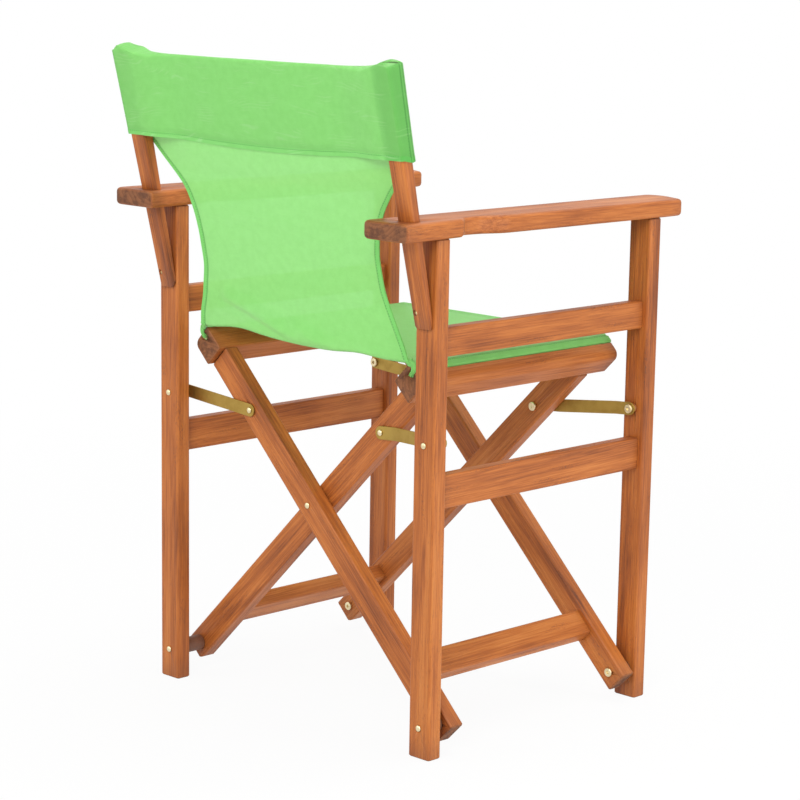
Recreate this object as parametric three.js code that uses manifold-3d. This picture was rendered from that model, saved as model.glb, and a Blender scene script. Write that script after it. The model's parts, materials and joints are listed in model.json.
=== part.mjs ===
// Folding director's chair: two side frames, two crossed frames that carry a fabric sling,
// brass straps that hold the crossed frames open, and a fabric back on two leaning posts.
// Millimetres, +Z up. The sitter faces -Y, so the sitter's left is +X.

import * as THREE from 'three';
import { mergeVertices } from 'three/addons/utils/BufferGeometryUtils.js';
import Module from 'manifold-3d';

const wasm = await Module();
wasm.setup();

// Clearances
const fit = 0.3; // round every tenon, pin and seated face
const swingGap = 10; // between a leg and the bar that swings past it
const slideGap = 1; // between the two bars of a crossing
const strapGap = 0.5; // between a strap and the bar it is riveted to

// Side frames
const legPitch = 476; // left to right, between the legs' centre planes
const legRun = 394; // front to back, between the legs' centre planes
const legWide = 36;
const legDeep = 22;
const legTall = 644;
const legEdge = 4;
const sawnEdge = 1.5; // broken edge at every sawn end
const railThick = 18;
const railEdge = 3;
const upperRailFoot = 500;
const upperRailTall = 36;
const lowerRailFoot = 313;
const lowerRailTall = 42;
const tenonShoulder = 5; // how far a tenon steps in from the faces of its rail
const tenonReach = 13;

// Armrests, measured from the legs' centre plane to their notched and to their full edge
const armThick = 22;
const armEdge = 5;
const leftArmRear = 64; // behind the rear leg's centre plane
const rightArmRear = 75;
const armFront = 70; // ahead of the front leg's centre plane
const armNotchedRear = 29;
const armNotchedWaist = 6.5; // at the bottom of the thumb notch
const armNotchedFront = 21;
const armFullRear = 50;
const armFullFront = 51;
const armNotch = 46; // from the rear leg's centre plane forward to the thumb notch

// Back posts
const postWide = 26;
const postThick = 15;
const postFootShare = 0.53; // thickness at the foot, as a share of postThick
const postTopShare = 1.53;
const postEdge = 4;
const postInset = 2; // the post's centre plane is inboard of the legs'
const postDrop = 108; // from the legs' tops down to the post's foot
const postToe = 4.4; // thickness left at the foot
const postRise = 180; // from the armrest's top up to the post's
const postLean = THREE.MathUtils.degToRad(14); // of the rear face

// Crossed frames
const pivotHeight = 39;
const crossHeight = 275;
const barWide = 36;
const barThick = 22;
const barEdge = 3;
const barToe = 18; // wood beyond the foot pivot
const barToeRound = 9;
const seatRailAt = 263.5; // from the crossing to the middle of the seat rail
const seatRailTall = 37;
const seatRailWide = 36;
const seatRailRound = 10; // outer top corner
const seatRailRun = 369;
const stretcherAt = 259; // from the crossing down to the middle of the stretcher
const stretcherThick = 22;
const stretcherWide = 36;
const grooveOffset = 5; // the groove is nearer the seat than the rail's middle
const grooveDepth = 7.5;
const grooveWide = 4;
const rodRadius = 3;

// Straps
const strapWide = 17;
const strapThick = 2;
const strapReach = 155; // from the crossing up to the strap's rivet
const foldSwing = THREE.MathUtils.degToRad(31); // a bar's swing from open to folded flat
const strapBarFlat = 27; // straight length at the bar end of a joggled strap
const strapLegFlat = 24; // straight length at its leg end

// Hardware
const shankRadius = 3;
const domeRadius = 4;
const domeTall = 2.2;
const flangeRadius = 6;
const flangeTall = 3;
const socketRadius = 2.5;
const socketDepth = 1.8;
const spacerRadius = 10.5;
const screwOffset = 8; // the screws sit toward the sitter's left in both posts
const screwRise = 19; // above the post's foot
const screwHead = 3.2;
const screwHeadTall = 2;
const screwShank = 1.8;
const screwReach = 17; // into the leg

// Fabric
const clothThick = 1.6;
const clothGap = 0.4; // between the cloth and the wood that it lies on
const seatSag = 2;
const seatFrontSetback = 6; // front edge behind the front ends of the seat rails
const seatRearSetback = 1;
const seatBend = 7; // radius where the seat turns up into the back
const sleeveRise = 72; // from the armrest up to the sleeve's hem
const panelContact = 30; // how far the panel lies against the posts below the hem
const panelFlare = 4; // the panel's top corner is this far outside the post's middle
const sleeveEnd = 2.5; // cloth and slack outside the posts
const sleeveDip = 9; // the top edge drops this much between the posts
const sleeveBelly = 9; // thickness over both layers halfway between the posts

// Derived layout
const legInner = legRun / 2 - legDeep / 2;
const legOuter = legRun / 2 + legDeep / 2;
const outerBarY = legInner - swingGap - barThick / 2;
const innerBarY = outerBarY - barThick - slideGap;
const armReach = Math.hypot(legPitch / 2, crossHeight - pivotHeight);
const openAngle = Math.atan2(crossHeight - pivotHeight, legPitch / 2);
const foldedAngle = openAngle + foldSwing;
const sines = Math.sin(openAngle) + Math.sin(foldedAngle);
const strapRise = (2 * armReach * strapReach * sines) / (armReach + strapReach);
const strapHeight = pivotHeight + strapRise;
const strapRun = (armReach - strapReach) * Math.cos(openAngle);
const strapDrop = strapRise - (armReach + strapReach) * Math.sin(openAngle);
const strapLong = Math.hypot(strapRun, strapDrop);
const strapTilt = Math.atan2(strapDrop, strapRun);
const strapY = outerBarY + barThick / 2 + strapGap; // bar-side face of a flat strap
const joggle = outerBarY - innerBarY;
const pocketWall = 0.8;
const grooveRadius = rodRadius + fit + pocketWall + clothGap;
const grooveAt = seatRailAt + seatRailTall / 2 - grooveDepth;
const armTop = legTall + armThick;
const postFoot = legTall - postDrop;
const postTop = armTop + postRise;
const screwHeight = postFoot + screwRise;
const hemHeight = armTop + sleeveRise;
const postY = legOuter + postToe - postThick / 2 / Math.cos(postLean);
const postLong = (postTop - postFoot) / Math.cos(postLean);
const postX = legPitch / 2 - postInset;
const frontSheet = -(postThick / 2 + clothGap + clothThick / 2);
const hemAt = (hemHeight - postFoot + frontSheet * Math.sin(postLean)) / Math.cos(postLean);

// Materials
const wood = new THREE.MeshStandardMaterial({ color: 0xb4682f, roughness: 0.55, metalness: 0 });
const brass = new THREE.MeshStandardMaterial({ color: 0xb49a4c, roughness: 0.35, metalness: 0.9 });
const rivetMetal = new THREE.MeshStandardMaterial({ color: 0xd8c890, roughness: 0.3, metalness: 0.9 });
const spacerMaterial = new THREE.MeshStandardMaterial({ color: 0x3c3430, roughness: 0.6, metalness: 0 });
const cloth = new THREE.MeshStandardMaterial({ color: 0x90e878, roughness: 0.8, metalness: 0 });

// Joining and cutting

function solid(geometry) {
  const bare = geometry.clone();
  bare.deleteAttribute('normal');
  bare.deleteAttribute('uv');
  const merged = mergeVertices(bare, 1e-4);
  const corners = merged.index.array;
  const kept = [];
  for (let i = 0; i < corners.length; i += 3) {
    const [a, b, c] = corners.slice(i, i + 3);
    if (a !== b && b !== c && c !== a) kept.push(a, b, c);
  }
  const vertProperties = new Float32Array(merged.attributes.position.array);
  const mesh = new wasm.Mesh({ numProp: 3, vertProperties, triVerts: new Uint32Array(kept) });
  return new wasm.Manifold(mesh);
}

function geometryOf(body) {
  const { vertProperties, triVerts } = body.getMesh();
  const geometry = new THREE.BufferGeometry();
  geometry.setAttribute('position', new THREE.BufferAttribute(vertProperties, 3));
  geometry.setIndex(new THREE.BufferAttribute(triVerts, 1));
  return geometry;
}

function cut(geometry, ...cutters) {
  return geometryOf(cutters.reduce((body, cutter) => body.subtract(solid(cutter)), solid(geometry)));
}

function join(geometry, ...others) {
  return geometryOf(others.reduce((body, other) => body.add(solid(other)), solid(geometry)));
}

function common(geometry, other) {
  return geometryOf(solid(geometry).intersect(solid(other)));
}

// Basic forms

// Closed outline through corners [x, y, radius], with a true arc at each rounded corner.
function outline(corners) {
  const shape = new THREE.Shape();
  corners.forEach(([x, y, radius], i) => {
    const corner = new THREE.Vector2(x, y);
    const [beforeX, beforeY] = corners.at(i - 1);
    const [afterX, afterY] = corners[(i + 1) % corners.length];
    const before = new THREE.Vector2(beforeX, beforeY).sub(corner).normalize();
    const after = new THREE.Vector2(afterX, afterY).sub(corner).normalize();
    const half = Math.acos(before.dot(after)) / 2;
    const start = before.clone().multiplyScalar(radius / Math.tan(half));
    const end = after.clone().multiplyScalar(radius / Math.tan(half));
    if (i === 0) shape.moveTo(x + start.x, y + start.y);
    else shape.lineTo(x + start.x, y + start.y);
    if (radius > 0) {
      const middle = before.clone().add(after).setLength(radius / Math.sin(half));
      const from = start.sub(middle).angle();
      const to = end.sub(middle).angle();
      shape.absarc(x + middle.x, y + middle.y, radius, from, to, before.cross(after) > 0);
    }
  });
  shape.closePath();
  return shape;
}

function rectangle(width, height, ...radii) {
  const [first, second = first, third = first, fourth = first] = radii;
  return outline([
    [width / 2, height / 2, first],
    [-width / 2, height / 2, second],
    [-width / 2, -height / 2, third],
    [width / 2, -height / 2, fourth],
  ]);
}

// Extrusion along +Z from z = 0, with its end edges broken by a small bevel.
function extrude(shape, length, bevel = 0, steps = 1, curveSegments = 3) {
  const geometry = new THREE.ExtrudeGeometry(shape, {
    depth: length - 2 * bevel,
    curveSegments,
    bevelEnabled: bevel > 0,
    bevelThickness: bevel,
    bevelSize: bevel,
    bevelOffset: -bevel,
    bevelSegments: steps,
  });
  return geometry.translate(0, 0, bevel);
}

// Turns an extrusion along +Z so that it runs along Y, centred, with its shape's y along Z.
function alongY(geometry, length) {
  return geometry.translate(0, 0, -length / 2).rotateX(Math.PI / 2);
}

function block(width, deep, tall) {
  return new THREE.BoxGeometry(width, deep, tall);
}

function pin(radius, length, sides = 16) {
  return new THREE.CylinderGeometry(radius, radius, length, sides);
}

// Solid of revolution about Y through [radius, y] points, from the lowest to the highest.
function turned(points) {
  return new THREE.LatheGeometry(points.map(([radius, y]) => new THREE.Vector2(radius, y)), 16);
}

// Strip of even thickness round a run of points, as a closed shape.
function ribbon(points, thickness) {
  const sides = [1, -1].map((side) => points.map((point, i) => {
    const ahead = (points[i + 1] ?? point).clone().sub(point).normalize();
    const behind = point.clone().sub(points[i - 1] ?? point).normalize();
    const along = ahead.clone().add(behind).normalize();
    const run = i === 0 ? ahead : behind;
    const stretch = (side * thickness) / 2 / along.dot(run);
    return new THREE.Vector2(point.x - along.y * stretch, point.y + along.x * stretch);
  }));
  return new THREE.Shape([...sides[0], ...sides[1].reverse()]);
}

// Points on a circle about (x, y), by angles from +x toward +y.
function arc(x, y, radius, from, to, count) {
  return Array.from({ length: count + 1 }, (_, i) => {
    const angle = THREE.MathUtils.lerp(from, to, i / count);
    return new THREE.Vector2(x + radius * Math.cos(angle), y + radius * Math.sin(angle));
  });
}

function mirrored(geometry) {
  const copy = geometryOf(solid(geometry));
  copy.scale(-1, 1, 1);
  const corners = copy.index.array;
  for (let i = 0; i < corners.length; i += 3) {
    [corners[i], corners[i + 1]] = [corners[i + 1], corners[i]];
  }
  return copy;
}

function place(parent, name, geometry, material, x = 0, y = 0, z = 0) {
  const mesh = new THREE.Mesh(geometryOf(solid(geometry)), material);
  mesh.name = name;
  mesh.position.set(x, y, z);
  parent.add(mesh);
  return mesh;
}

function group(parent, x, y, z, turnX = 0, turnY = 0) {
  const node = new THREE.Group();
  node.position.set(x, y, z);
  node.rotation.set(turnX, turnY, 0);
  parent.add(node);
  return node;
}

// Side frames

function railTenon(tall, grow) {
  const thick = railThick - 2 * tenonShoulder + 2 * grow;
  const run = 2 * legInner + 2 * tenonReach + 2 * grow;
  return block(thick, run, tall - 2 * tenonShoulder + 2 * grow);
}

function sideRail(tall) {
  const length = 2 * legInner - 2 * fit;
  const body = extrude(rectangle(railThick, tall, railEdge), length);
  return join(alongY(body, length), railTenon(tall, 0));
}

// Tenons of one leg into the armrest, as tall above the leg's shoulder as below it.
function legTenon(grow) {
  const wide = legWide - 2 * tenonShoulder + 2 * grow;
  const deep = legDeep - 2 * tenonShoulder + 2 * grow;
  return block(wide, deep, 2 * (tenonReach + grow)).translate(0, 0, legTall);
}

// A leg about its own centre line, with the chair's middle toward -Y.
function leg(...extraCuts) {
  const post = extrude(rectangle(legWide, legDeep, legEdge), legTall - fit, sawnEdge);
  const rails = [[upperRailFoot, upperRailTall], [lowerRailFoot, lowerRailTall]];
  const mortises = rails.map(([foot, tall]) => {
    return railTenon(tall, fit).translate(0, -legRun / 2, foot + tall / 2);
  });
  const holes = [pivotHeight, strapHeight].map((height) => {
    return pin(shankRadius + fit, 2 * legDeep).translate(0, 0, height);
  });
  return cut(join(post, legTenon(0)), ...mortises, ...holes, ...extraCuts);
}

function screwPilot(side) {
  const length = 2 * (screwReach + fit);
  const inLeg = screwOffset - side * postInset;
  return pin(screwShank + fit, length).translate(inLeg, legDeep / 2, screwHeight);
}

// Plan of an armrest: x from the legs' centre plane toward the chair's right, y from its middle.
function armPlan(side) {
  const rear = legRun / 2 + (side > 0 ? leftArmRear : rightArmRear);
  const front = -legRun / 2 - armFront;
  const notch = legRun / 2 - armNotch;
  return outline([
    [armNotchedRear, rear, 6],
    [-armFullRear, rear, 14],
    [-armFullFront, front + 9, 12],
    [-armFullFront / 2, front, 40],
    [armNotchedFront - 2, front + 18, 12],
    [armNotchedFront, front + 45, 60],
    [armNotchedFront, notch - 58, 60],
    [armNotchedWaist + 2, notch - 28, 50],
    [armNotchedWaist, notch, 10],
    [armNotchedRear - 9, notch + 16, 8],
  ]);
}

function taperAt(z) {
  return THREE.MathUtils.lerp(postFootShare, postTopShare, z / postLong);
}

// Thickens a part of the back toward its top, forward from the posts' rear faces.
function tapered(geometry) {
  const spots = geometry.getAttribute('position');
  const rear = postThick / 2;
  for (let i = 0; i < spots.count; i += 1) {
    spots.setY(i, rear - (rear - spots.getY(i)) * taperAt(spots.getZ(i)));
  }
  return geometry;
}

function leaningPost(grow) {
  const shape = rectangle(postWide + 2 * grow, postThick + 2 * grow, postEdge);
  return tapered(extrude(shape, postLong + 2 * grow).translate(0, 0, -grow));
}

function armrest(side) {
  const plan = extrude(armPlan(side), armThick, armEdge, 3, 6).translate(0, 0, legTall);
  const through = leaningPost(fit).rotateX(-postLean).translate(side * postInset, postY, postFoot);
  const pockets = [1, -1].map((end) => legTenon(fit).translate(0, (end * legRun) / 2, 0));
  return mirrored(cut(plan, through, ...pockets));
}

// The leaning back: x from the middle, y rearward, z up the posts from their feet

// The left post about its own centre line, screwed toward its outer edge if side is 1.
function backPost(side) {
  const length = 2 * postLong;
  const face = outline([
    [postWide / 2, postLong, postEdge],
    [-postWide / 2, postLong, postEdge],
    [-postWide / 2, 0, 9],
    [postWide / 2, 0, 3],
  ]);
  const faced = common(leaningPost(0), alongY(extrude(face, length), length));
  const behindLeg = legOuter + fit - postY;
  const screwX = side * screwOffset;
  const screwZ = screwHeight - postFoot;
  const level = [
    block(postWide * 2, length, length).translate(0, behindLeg - length / 2, 0),
    block(postWide * 2, length, length).translate(0, 0, -length / 2),
    pin(screwShank + fit, length).translate(screwX, 0, screwZ),
    pin(screwHead + fit, length).translate(screwX, behindLeg + postToe + length / 2, screwZ),
  ].map((cutter) => cutter.rotateX(postLean));
  return cut(faced, ...level);
}

// Sleeve: two layers of cloth over both posts, closed at the top and ends, open below.

function sleevePlan(inset) {
  const end = postX + postWide / 2 + sleeveEnd - inset;
  const half = -frontSheet + clothThick / 2 - inset;
  const waist = -half + sleeveBelly - 2 * inset;
  const round = 5 - inset;
  const postInner = postX - postWide / 2 - clothGap;
  const rear = [[end, half], [postInner - 6, half], [postInner / 2, (half + 2 * waist) / 3]];
  const half1 = rear.map(([x, y], i) => [x, y, i === 0 ? round : 40]);
  const half2 = [...half1].reverse().map(([x, y, radius]) => [-x, y, radius]);
  return outline([...half1, [0, waist, 60], ...half2, [-end, -half, round], [end, -half, round]]);
}

function sleeveFace(inset) {
  const end = postX + postWide / 2 + sleeveEnd - inset;
  const top = postLong + clothGap + clothThick - inset;
  const low = top - sleeveDip;
  const shoulder = postX - postWide / 2;
  return outline([
    [end, hemAt, 0],
    [end, top, 4],
    [shoulder, top, 12],
    [shoulder - 45, low, 60],
    [-shoulder + 45, low, 60],
    [-shoulder, top, 12],
    [-end, top, 4],
    [-end, hemAt, 0],
  ]);
}

function sleeveBody(inset) {
  const length = 4 * postThick;
  const plan = extrude(sleevePlan(inset), 2 * postLong);
  return common(plan, alongY(extrude(sleeveFace(inset), length), length));
}

function backSleeve() {
  const inside = sleeveBody(clothThick);
  return tapered(cut(sleeveBody(0), inside, inside.clone().translate(0, 0, -sleeveDip)));
}

// Crossed frames: z runs up the bars from the crossing, y rearward.
// Toward is 1 where the seat lies on the +X side of the bar and -1 where it lies on the other.

const seatRailFoot = seatRailAt - seatRailTall / 2;

function barTenon(grow) {
  const wide = barWide - 4 * tenonShoulder + 2 * grow;
  const deep = barThick - 2 * tenonShoulder + 2 * grow;
  return block(wide, deep, 2 * (tenonReach + grow)).translate(0, 0, seatRailFoot);
}

// Tenon of a stretcher into one bar, as long inside the stretcher as in the bar.
function stretcherTenon(grow) {
  const thick = stretcherThick - 2 * tenonShoulder + 2 * grow;
  const wide = stretcherWide - 2 * tenonShoulder + 2 * grow;
  return block(thick, 2 * (tenonReach + grow), wide);
}

// End is 1 for the rear bar of a frame and -1 for the front one.
function crossBar(end, toeRound) {
  const foot = -armReach - barToe;
  const length = seatRailFoot - fit - foot;
  const stock = extrude(rectangle(barWide, barThick, barEdge), length, sawnEdge);
  const face = outline([
    [barWide / 2, seatRailFoot, 0],
    [-barWide / 2, seatRailFoot, 0],
    [-barWide / 2, foot, toeRound],
    [barWide / 2, foot, sawnEdge],
  ]);
  const faced = common(stock.translate(0, 0, foot), alongY(extrude(face, barWide), barWide));
  const holes = [0, strapReach, -armReach].map((z) => {
    return pin(shankRadius + fit, 2 * barThick).translate(0, 0, z);
  });
  const mortise = stretcherTenon(fit).translate(0, (-end * barThick) / 2, -stretcherAt);
  return cut(join(faced, barTenon(0)), ...holes, mortise);
}

function seatRail(toward, barY) {
  const rounds = toward > 0 ? [railEdge, seatRailRound] : [seatRailRound, railEdge];
  const shape = rectangle(seatRailWide, seatRailTall, ...rounds, railEdge, railEdge);
  const stock = alongY(extrude(shape, seatRailRun, sawnEdge), seatRailRun);
  const groove = pin(grooveRadius, 2 * seatRailRun).translate(0, 0, grooveAt - seatRailAt);
  const slot = block(grooveWide, 2 * seatRailRun, seatRailTall);
  slot.translate(0, 0, grooveAt - seatRailAt + seatRailTall / 2);
  const channel = join(groove, slot).translate(toward * grooveOffset, 0, 0);
  const mortises = [barY, -barY].map((y) => barTenon(fit).translate(0, y, -seatRailAt));
  return cut(stock, channel, ...mortises);
}

function stretcher(barY) {
  const between = 2 * barY - barThick;
  const body = extrude(rectangle(stretcherThick, stretcherWide, railEdge), between - 2 * fit);
  const tenons = [1, -1].map((end) => stretcherTenon(0).translate(0, (end * between) / 2, 0));
  return join(alongY(body, between - 2 * fit), ...tenons);
}

function clothRod() {
  const length = seatRailRun - 2 * seatRearSetback;
  return pin(rodRadius, length, 12);
}

// Straps: x runs from the leg pivot to the bar's rivet, y rearward

function strap(offset) {
  const round = strapWide / 2;
  const plan = outline([
    [strapLong + round, round, round - 0.01],
    [-round, round, round - 0.01],
    [-round, -round, round - 0.01],
    [strapLong + round, -round, round - 0.01],
  ]);
  const length = 2 * (Math.abs(offset) + strapThick + round);
  const blank = alongY(extrude(plan, length), length);
  const run = [
    new THREE.Vector2(-2 * round, 0),
    new THREE.Vector2(strapLegFlat, 0),
    new THREE.Vector2(strapLong - strapBarFlat, -offset),
    new THREE.Vector2(strapLong + 2 * round, -offset),
  ];
  const side = extrude(ribbon(run, strapThick), strapWide * 2).translate(0, 0, -strapWide);
  const holes = [0, strapLong].map((x) => pin(shankRadius + fit, 4 * length).translate(x, 0, 0));
  return cut(common(blank, side), ...holes);
}

// Fasteners: y runs along the shank, outward to the domed head

const dome = [[domeRadius, 0], [domeRadius, 0.6], [domeRadius * 0.75, domeTall * 0.8], [0, domeTall]];

function domeAt(y) {
  return dome.map(([radius, height]) => [radius, y + height]);
}

function socket(y) {
  return new THREE.CylinderGeometry(socketRadius, socketRadius, 2 * socketDepth, 6).translate(0, y, 0);
}

// Bolt from a flanged socket head at y = low to a domed head at y = high.
function bolt(low, high) {
  const body = turned([
    [0, low - fit - flangeTall],
    [flangeRadius - 1, low - fit - flangeTall],
    [flangeRadius, low - fit - flangeTall + 0.8],
    [flangeRadius, low - fit],
    [shankRadius, low - fit],
    [shankRadius, high + fit],
    ...domeAt(high + fit),
  ]);
  return cut(body, socket(low - fit - flangeTall));
}

function crossingRivet(low, high) {
  return turned([
    ...dome.map(([radius, height]) => [radius, low - fit - height]).reverse(),
    [shankRadius, low - fit],
    [shankRadius, high + fit],
    ...domeAt(high + fit),
  ]);
}

// Pivot of a strap in its leg: a shoulder stands the strap off the leg's inner face.
function strapPivot() {
  const strapFace = strapY + strapThick;
  return cut(turned([
    [0, strapY - fit - flangeTall],
    [flangeRadius, strapY - fit - flangeTall],
    [flangeRadius, strapY - fit],
    [shankRadius, strapY - fit],
    [shankRadius, strapFace + fit],
    [flangeRadius, strapFace + fit],
    [flangeRadius, legInner - fit],
    [shankRadius, legInner - fit],
    [shankRadius, legOuter + fit],
    ...domeAt(legOuter + fit),
  ]), socket(strapY - fit - flangeTall));
}

function spacer(gap) {
  const length = gap - 2 * fit;
  return turned([
    [shankRadius + fit, -length / 2],
    [spacerRadius, -length / 2],
    [spacerRadius, length / 2],
    [shankRadius + fit, length / 2],
    [shankRadius + fit, -length / 2],
  ]);
}

// Head of the strap's rivet, which turns with the strap and stops short of the bar.
function strapRivetHead() {
  return turned([[0, fit - strapGap], [shankRadius, fit - strapGap], [shankRadius, strapThick + fit],
    ...domeAt(strapThick + fit)]);
}

function strapRivetShank(barY) {
  const rear = barY + barThick / 2;
  return turned([
    [0, rear - barThick - fit - flangeTall],
    [flangeRadius, rear - barThick - fit - flangeTall],
    [flangeRadius, rear - barThick - fit],
    [shankRadius, rear - barThick - fit],
    [shankRadius, rear - fit],
    [0, rear - fit],
  ]);
}

function postScrew() {
  const head = legOuter + postToe + 2 * fit;
  return turned([
    [0, legOuter - screwReach + fit],
    [screwShank, legOuter - screwReach + 3],
    [screwShank, head],
    [screwHead, head],
    [screwHead, head + screwHeadTall / 2],
    [0, head + screwHeadTall],
  ]);
}

// Seat and back cloth

// Point over the left seat rail, by its place along and across the rail's bar.
function byRail(along, across) {
  return new THREE.Vector2(
    along * Math.cos(openAngle) - across * Math.sin(openAngle),
    along * Math.sin(openAngle) + across * Math.cos(openAngle),
  );
}

// Middle line of the seat cloth, about the crossing: up out of the left groove, round the
// rail's inner corner, across with a slight sag, and down into the right groove.
function seatRun() {
  const lift = clothGap + clothThick / 2;
  const face = seatRailAt + seatRailTall / 2;
  const corner = byRail(face - railEdge, seatRailWide / 2 - railEdge);
  const turnEnd = Math.PI / 2 + Math.atan((2 * seatSag) / corner.x);
  const over = arc(corner.x, corner.y, railEdge + lift, openAngle, turnEnd, 4);
  const top = over.at(-1);
  const span = [0.75, 0.5, 0.25].map((share) => {
    return new THREE.Vector2(top.x * share, top.y - seatSag * (1 - share ** 2));
  });
  const half = [
    byRail(grooveAt + grooveRadius - clothGap - pocketWall / 2, grooveOffset),
    byRail(face + lift, grooveOffset),
    ...over,
    ...span,
  ];
  const middle = new THREE.Vector2(0, top.y - seatSag);
  return [...half, middle, ...half.toReversed().map(({ x, y }) => new THREE.Vector2(-x, y))];
}

// Height at which the panel leaves the rear edge of the seat
function seatTop() {
  return seatRun().at(6).y + crossHeight - seatSag / 2;
}

// Sewn tube round the rod, about the crossing, on the left rail if side is 1.
function rodPocket(side, length) {
  const centre = byRail(grooveAt, grooveOffset);
  const outer = pin(grooveRadius - clothGap, length, 16);
  const inner = pin(rodRadius + fit, 2 * length, 16);
  return cut(outer, inner).translate(side * centre.x, 0, centre.y);
}

function seatSling() {
  const length = seatRailRun - seatFrontSetback - seatRearSetback;
  const sheet = alongY(extrude(ribbon(seatRun(), clothThick), length), length);
  const sling = join(sheet, rodPocket(1, length), rodPocket(-1, length));
  return sling.translate(0, (seatFrontSetback - seatRearSetback) / 2, 0);
}

// How far each side of the panel curves in from the straight line between its corners, and how
// far up it that is, as a share of the rise from the seat to the hem.
const panelCurve = [
  [0, 0], [9, 0.084], [30.7, 0.249], [49.2, 0.398], [58, 0.521], [59.4, 0.625],
  [55.2, 0.728], [42.2, 0.812], [28.2, 0.877], [14.9, 0.935], [0, 1],
];

function panelFace() {
  const low = new THREE.Vector2(byRail(grooveAt, grooveOffset).x + clothThick, seatTop() - seatBend);
  const high = new THREE.Vector2(postX + panelFlare, hemHeight + 1);
  const points = panelCurve.map(([inward, share]) => {
    return low.clone().lerp(high, share).sub(new THREE.Vector2(inward, 0));
  });
  const right = new THREE.SplineCurve(points).getPoints(24);
  return new THREE.Shape([...right, ...right.toReversed().map(({ x, y }) => new THREE.Vector2(-x, y))]);
}

// Middle of the cloth in front of the posts, this far up them, as (y, z)
function beforePosts(z) {
  const rear = postThick / 2;
  const middle = rear - (rear - frontSheet) * taperAt(z);
  return new THREE.Vector2(middle, z).rotateAround(new THREE.Vector2(), -postLean)
    .add(new THREE.Vector2(postY, postFoot));
}

// Middle line of the panel seen from the side: it turns up out of the seat and rises to the hem.
function panelRun() {
  const start = new THREE.Vector2(seatRailRun / 2 - seatRearSetback + fit, seatTop());
  const centre = start.clone().setY(start.y + seatBend);
  const hem = beforePosts(hemAt - fit);
  const contact = beforePosts(hemAt - fit - panelContact);
  const rise = contact.clone().sub(centre);
  const climb = rise.angle() + Math.asin(seatBend / rise.length());
  const turn = arc(centre.x, centre.y, seatBend, -Math.PI / 2, climb - Math.PI / 2, 5);
  return [...turn, contact, hem];
}

function backPanel() {
  const wide = 4 * postX;
  const sheet = extrude(ribbon(panelRun(), clothThick), wide).translate(0, 0, -wide / 2);
  const face = alongY(extrude(panelFace(), wide), wide);
  return common(sheet.rotateX(Math.PI / 2).rotateZ(Math.PI / 2), face);
}

// Assembly

const chair = new THREE.Group();

// Places a fastener whose y is the distance rearward from the chair's middle, or forward of it.
function fasten(parent, name, geometry, end, x, y, z) {
  const mesh = place(parent, name, geometry, rivetMetal, x, y, z);
  mesh.rotation.z = end > 0 ? 0 : Math.PI;
}

function addSideFrame(name, side) {
  const frame = group(chair, (side * legPitch) / 2, 0, 0);
  const barY = side > 0 ? innerBarY : outerBarY;
  const barFace = barY + barThick / 2;
  place(frame, `${name}_rear_leg`, leg(screwPilot(side)), wood, 0, legRun / 2);
  place(frame, `${name}_front_leg`, leg(), wood, 0, -legRun / 2).rotation.z = Math.PI;
  const upper = upperRailFoot + upperRailTall / 2;
  const lower = lowerRailFoot + lowerRailTall / 2;
  place(frame, `${name}_upper_side_rail`, sideRail(upperRailTall), wood, 0, 0, upper);
  place(frame, `${name}_lower_side_rail`, sideRail(lowerRailTall), wood, 0, 0, lower);
  place(frame, `${name}_armrest`, armrest(side), wood);
  for (const [where, end] of [['rear', 1], ['front', -1]]) {
    const low = barY - barThick / 2;
    fasten(frame, `${name}_${where}_pivot_bolt`, bolt(low, legOuter), end, 0, 0, pivotHeight);
    const spacerY = (end * (barFace + legInner)) / 2;
    const ring = spacer(legInner - barFace);
    place(frame, `${name}_${where}_pivot_spacer`, ring, spacerMaterial, 0, spacerY, pivotHeight);
    fasten(frame, `${name}_${where}_strap_pivot`, strapPivot(), end, 0, 0, strapHeight);
    addStrap(frame, `${name}_${where}`, side, end);
  }
}

function addStrap(frame, name, side, end) {
  const offset = side > 0 ? 0 : joggle;
  const turn = side > 0 ? Math.PI - strapTilt : strapTilt;
  const pivot = group(frame, 0, end * (strapY + strapThick / 2), strapHeight, 0, turn);
  place(pivot, `${name}_strap`, strap(offset), brass).rotation.x = end > 0 ? 0 : Math.PI;
  const headY = -end * (offset + strapThick / 2);
  fasten(pivot, `${name}_strap_rivet_head`, strapRivetHead(), end, strapLong, headY, 0);
}

function addCrossedFrame(name, side, barY) {
  const turn = side * (Math.PI / 2 - openAngle);
  const frame = group(chair, 0, 0, crossHeight, 0, turn);
  const [railSide, stretcherSide] = side > 0 ? ['left', 'right'] : ['right', 'left'];
  for (const [where, end] of [['rear', 1], ['front', -1]]) {
    const bar = crossBar(end, side > 0 ? sawnEdge : barToeRound);
    place(frame, `${name}_${where}_bar`, bar, wood, 0, end * barY);
    const shank = strapRivetShank(barY);
    fasten(frame, `${railSide}_${where}_strap_rivet_shank`, shank, end, 0, 0, strapReach);
  }
  place(frame, `${railSide}_seat_rail`, seatRail(-side, barY), wood, 0, 0, seatRailAt);
  place(frame, `${railSide}_cloth_rod`, clothRod(), rivetMetal, -side * grooveOffset, 0, grooveAt);
  place(frame, `${stretcherSide}_stretcher`, stretcher(barY), wood, 0, 0, -stretcherAt);
}

function addCrossingRivets() {
  const rivet = crossingRivet(innerBarY - barThick / 2, outerBarY + barThick / 2);
  fasten(chair, 'rear_crossing_rivet', rivet, 1, 0, 0, crossHeight);
  fasten(chair, 'front_crossing_rivet', rivet, -1, 0, 0, crossHeight);
}

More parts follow.
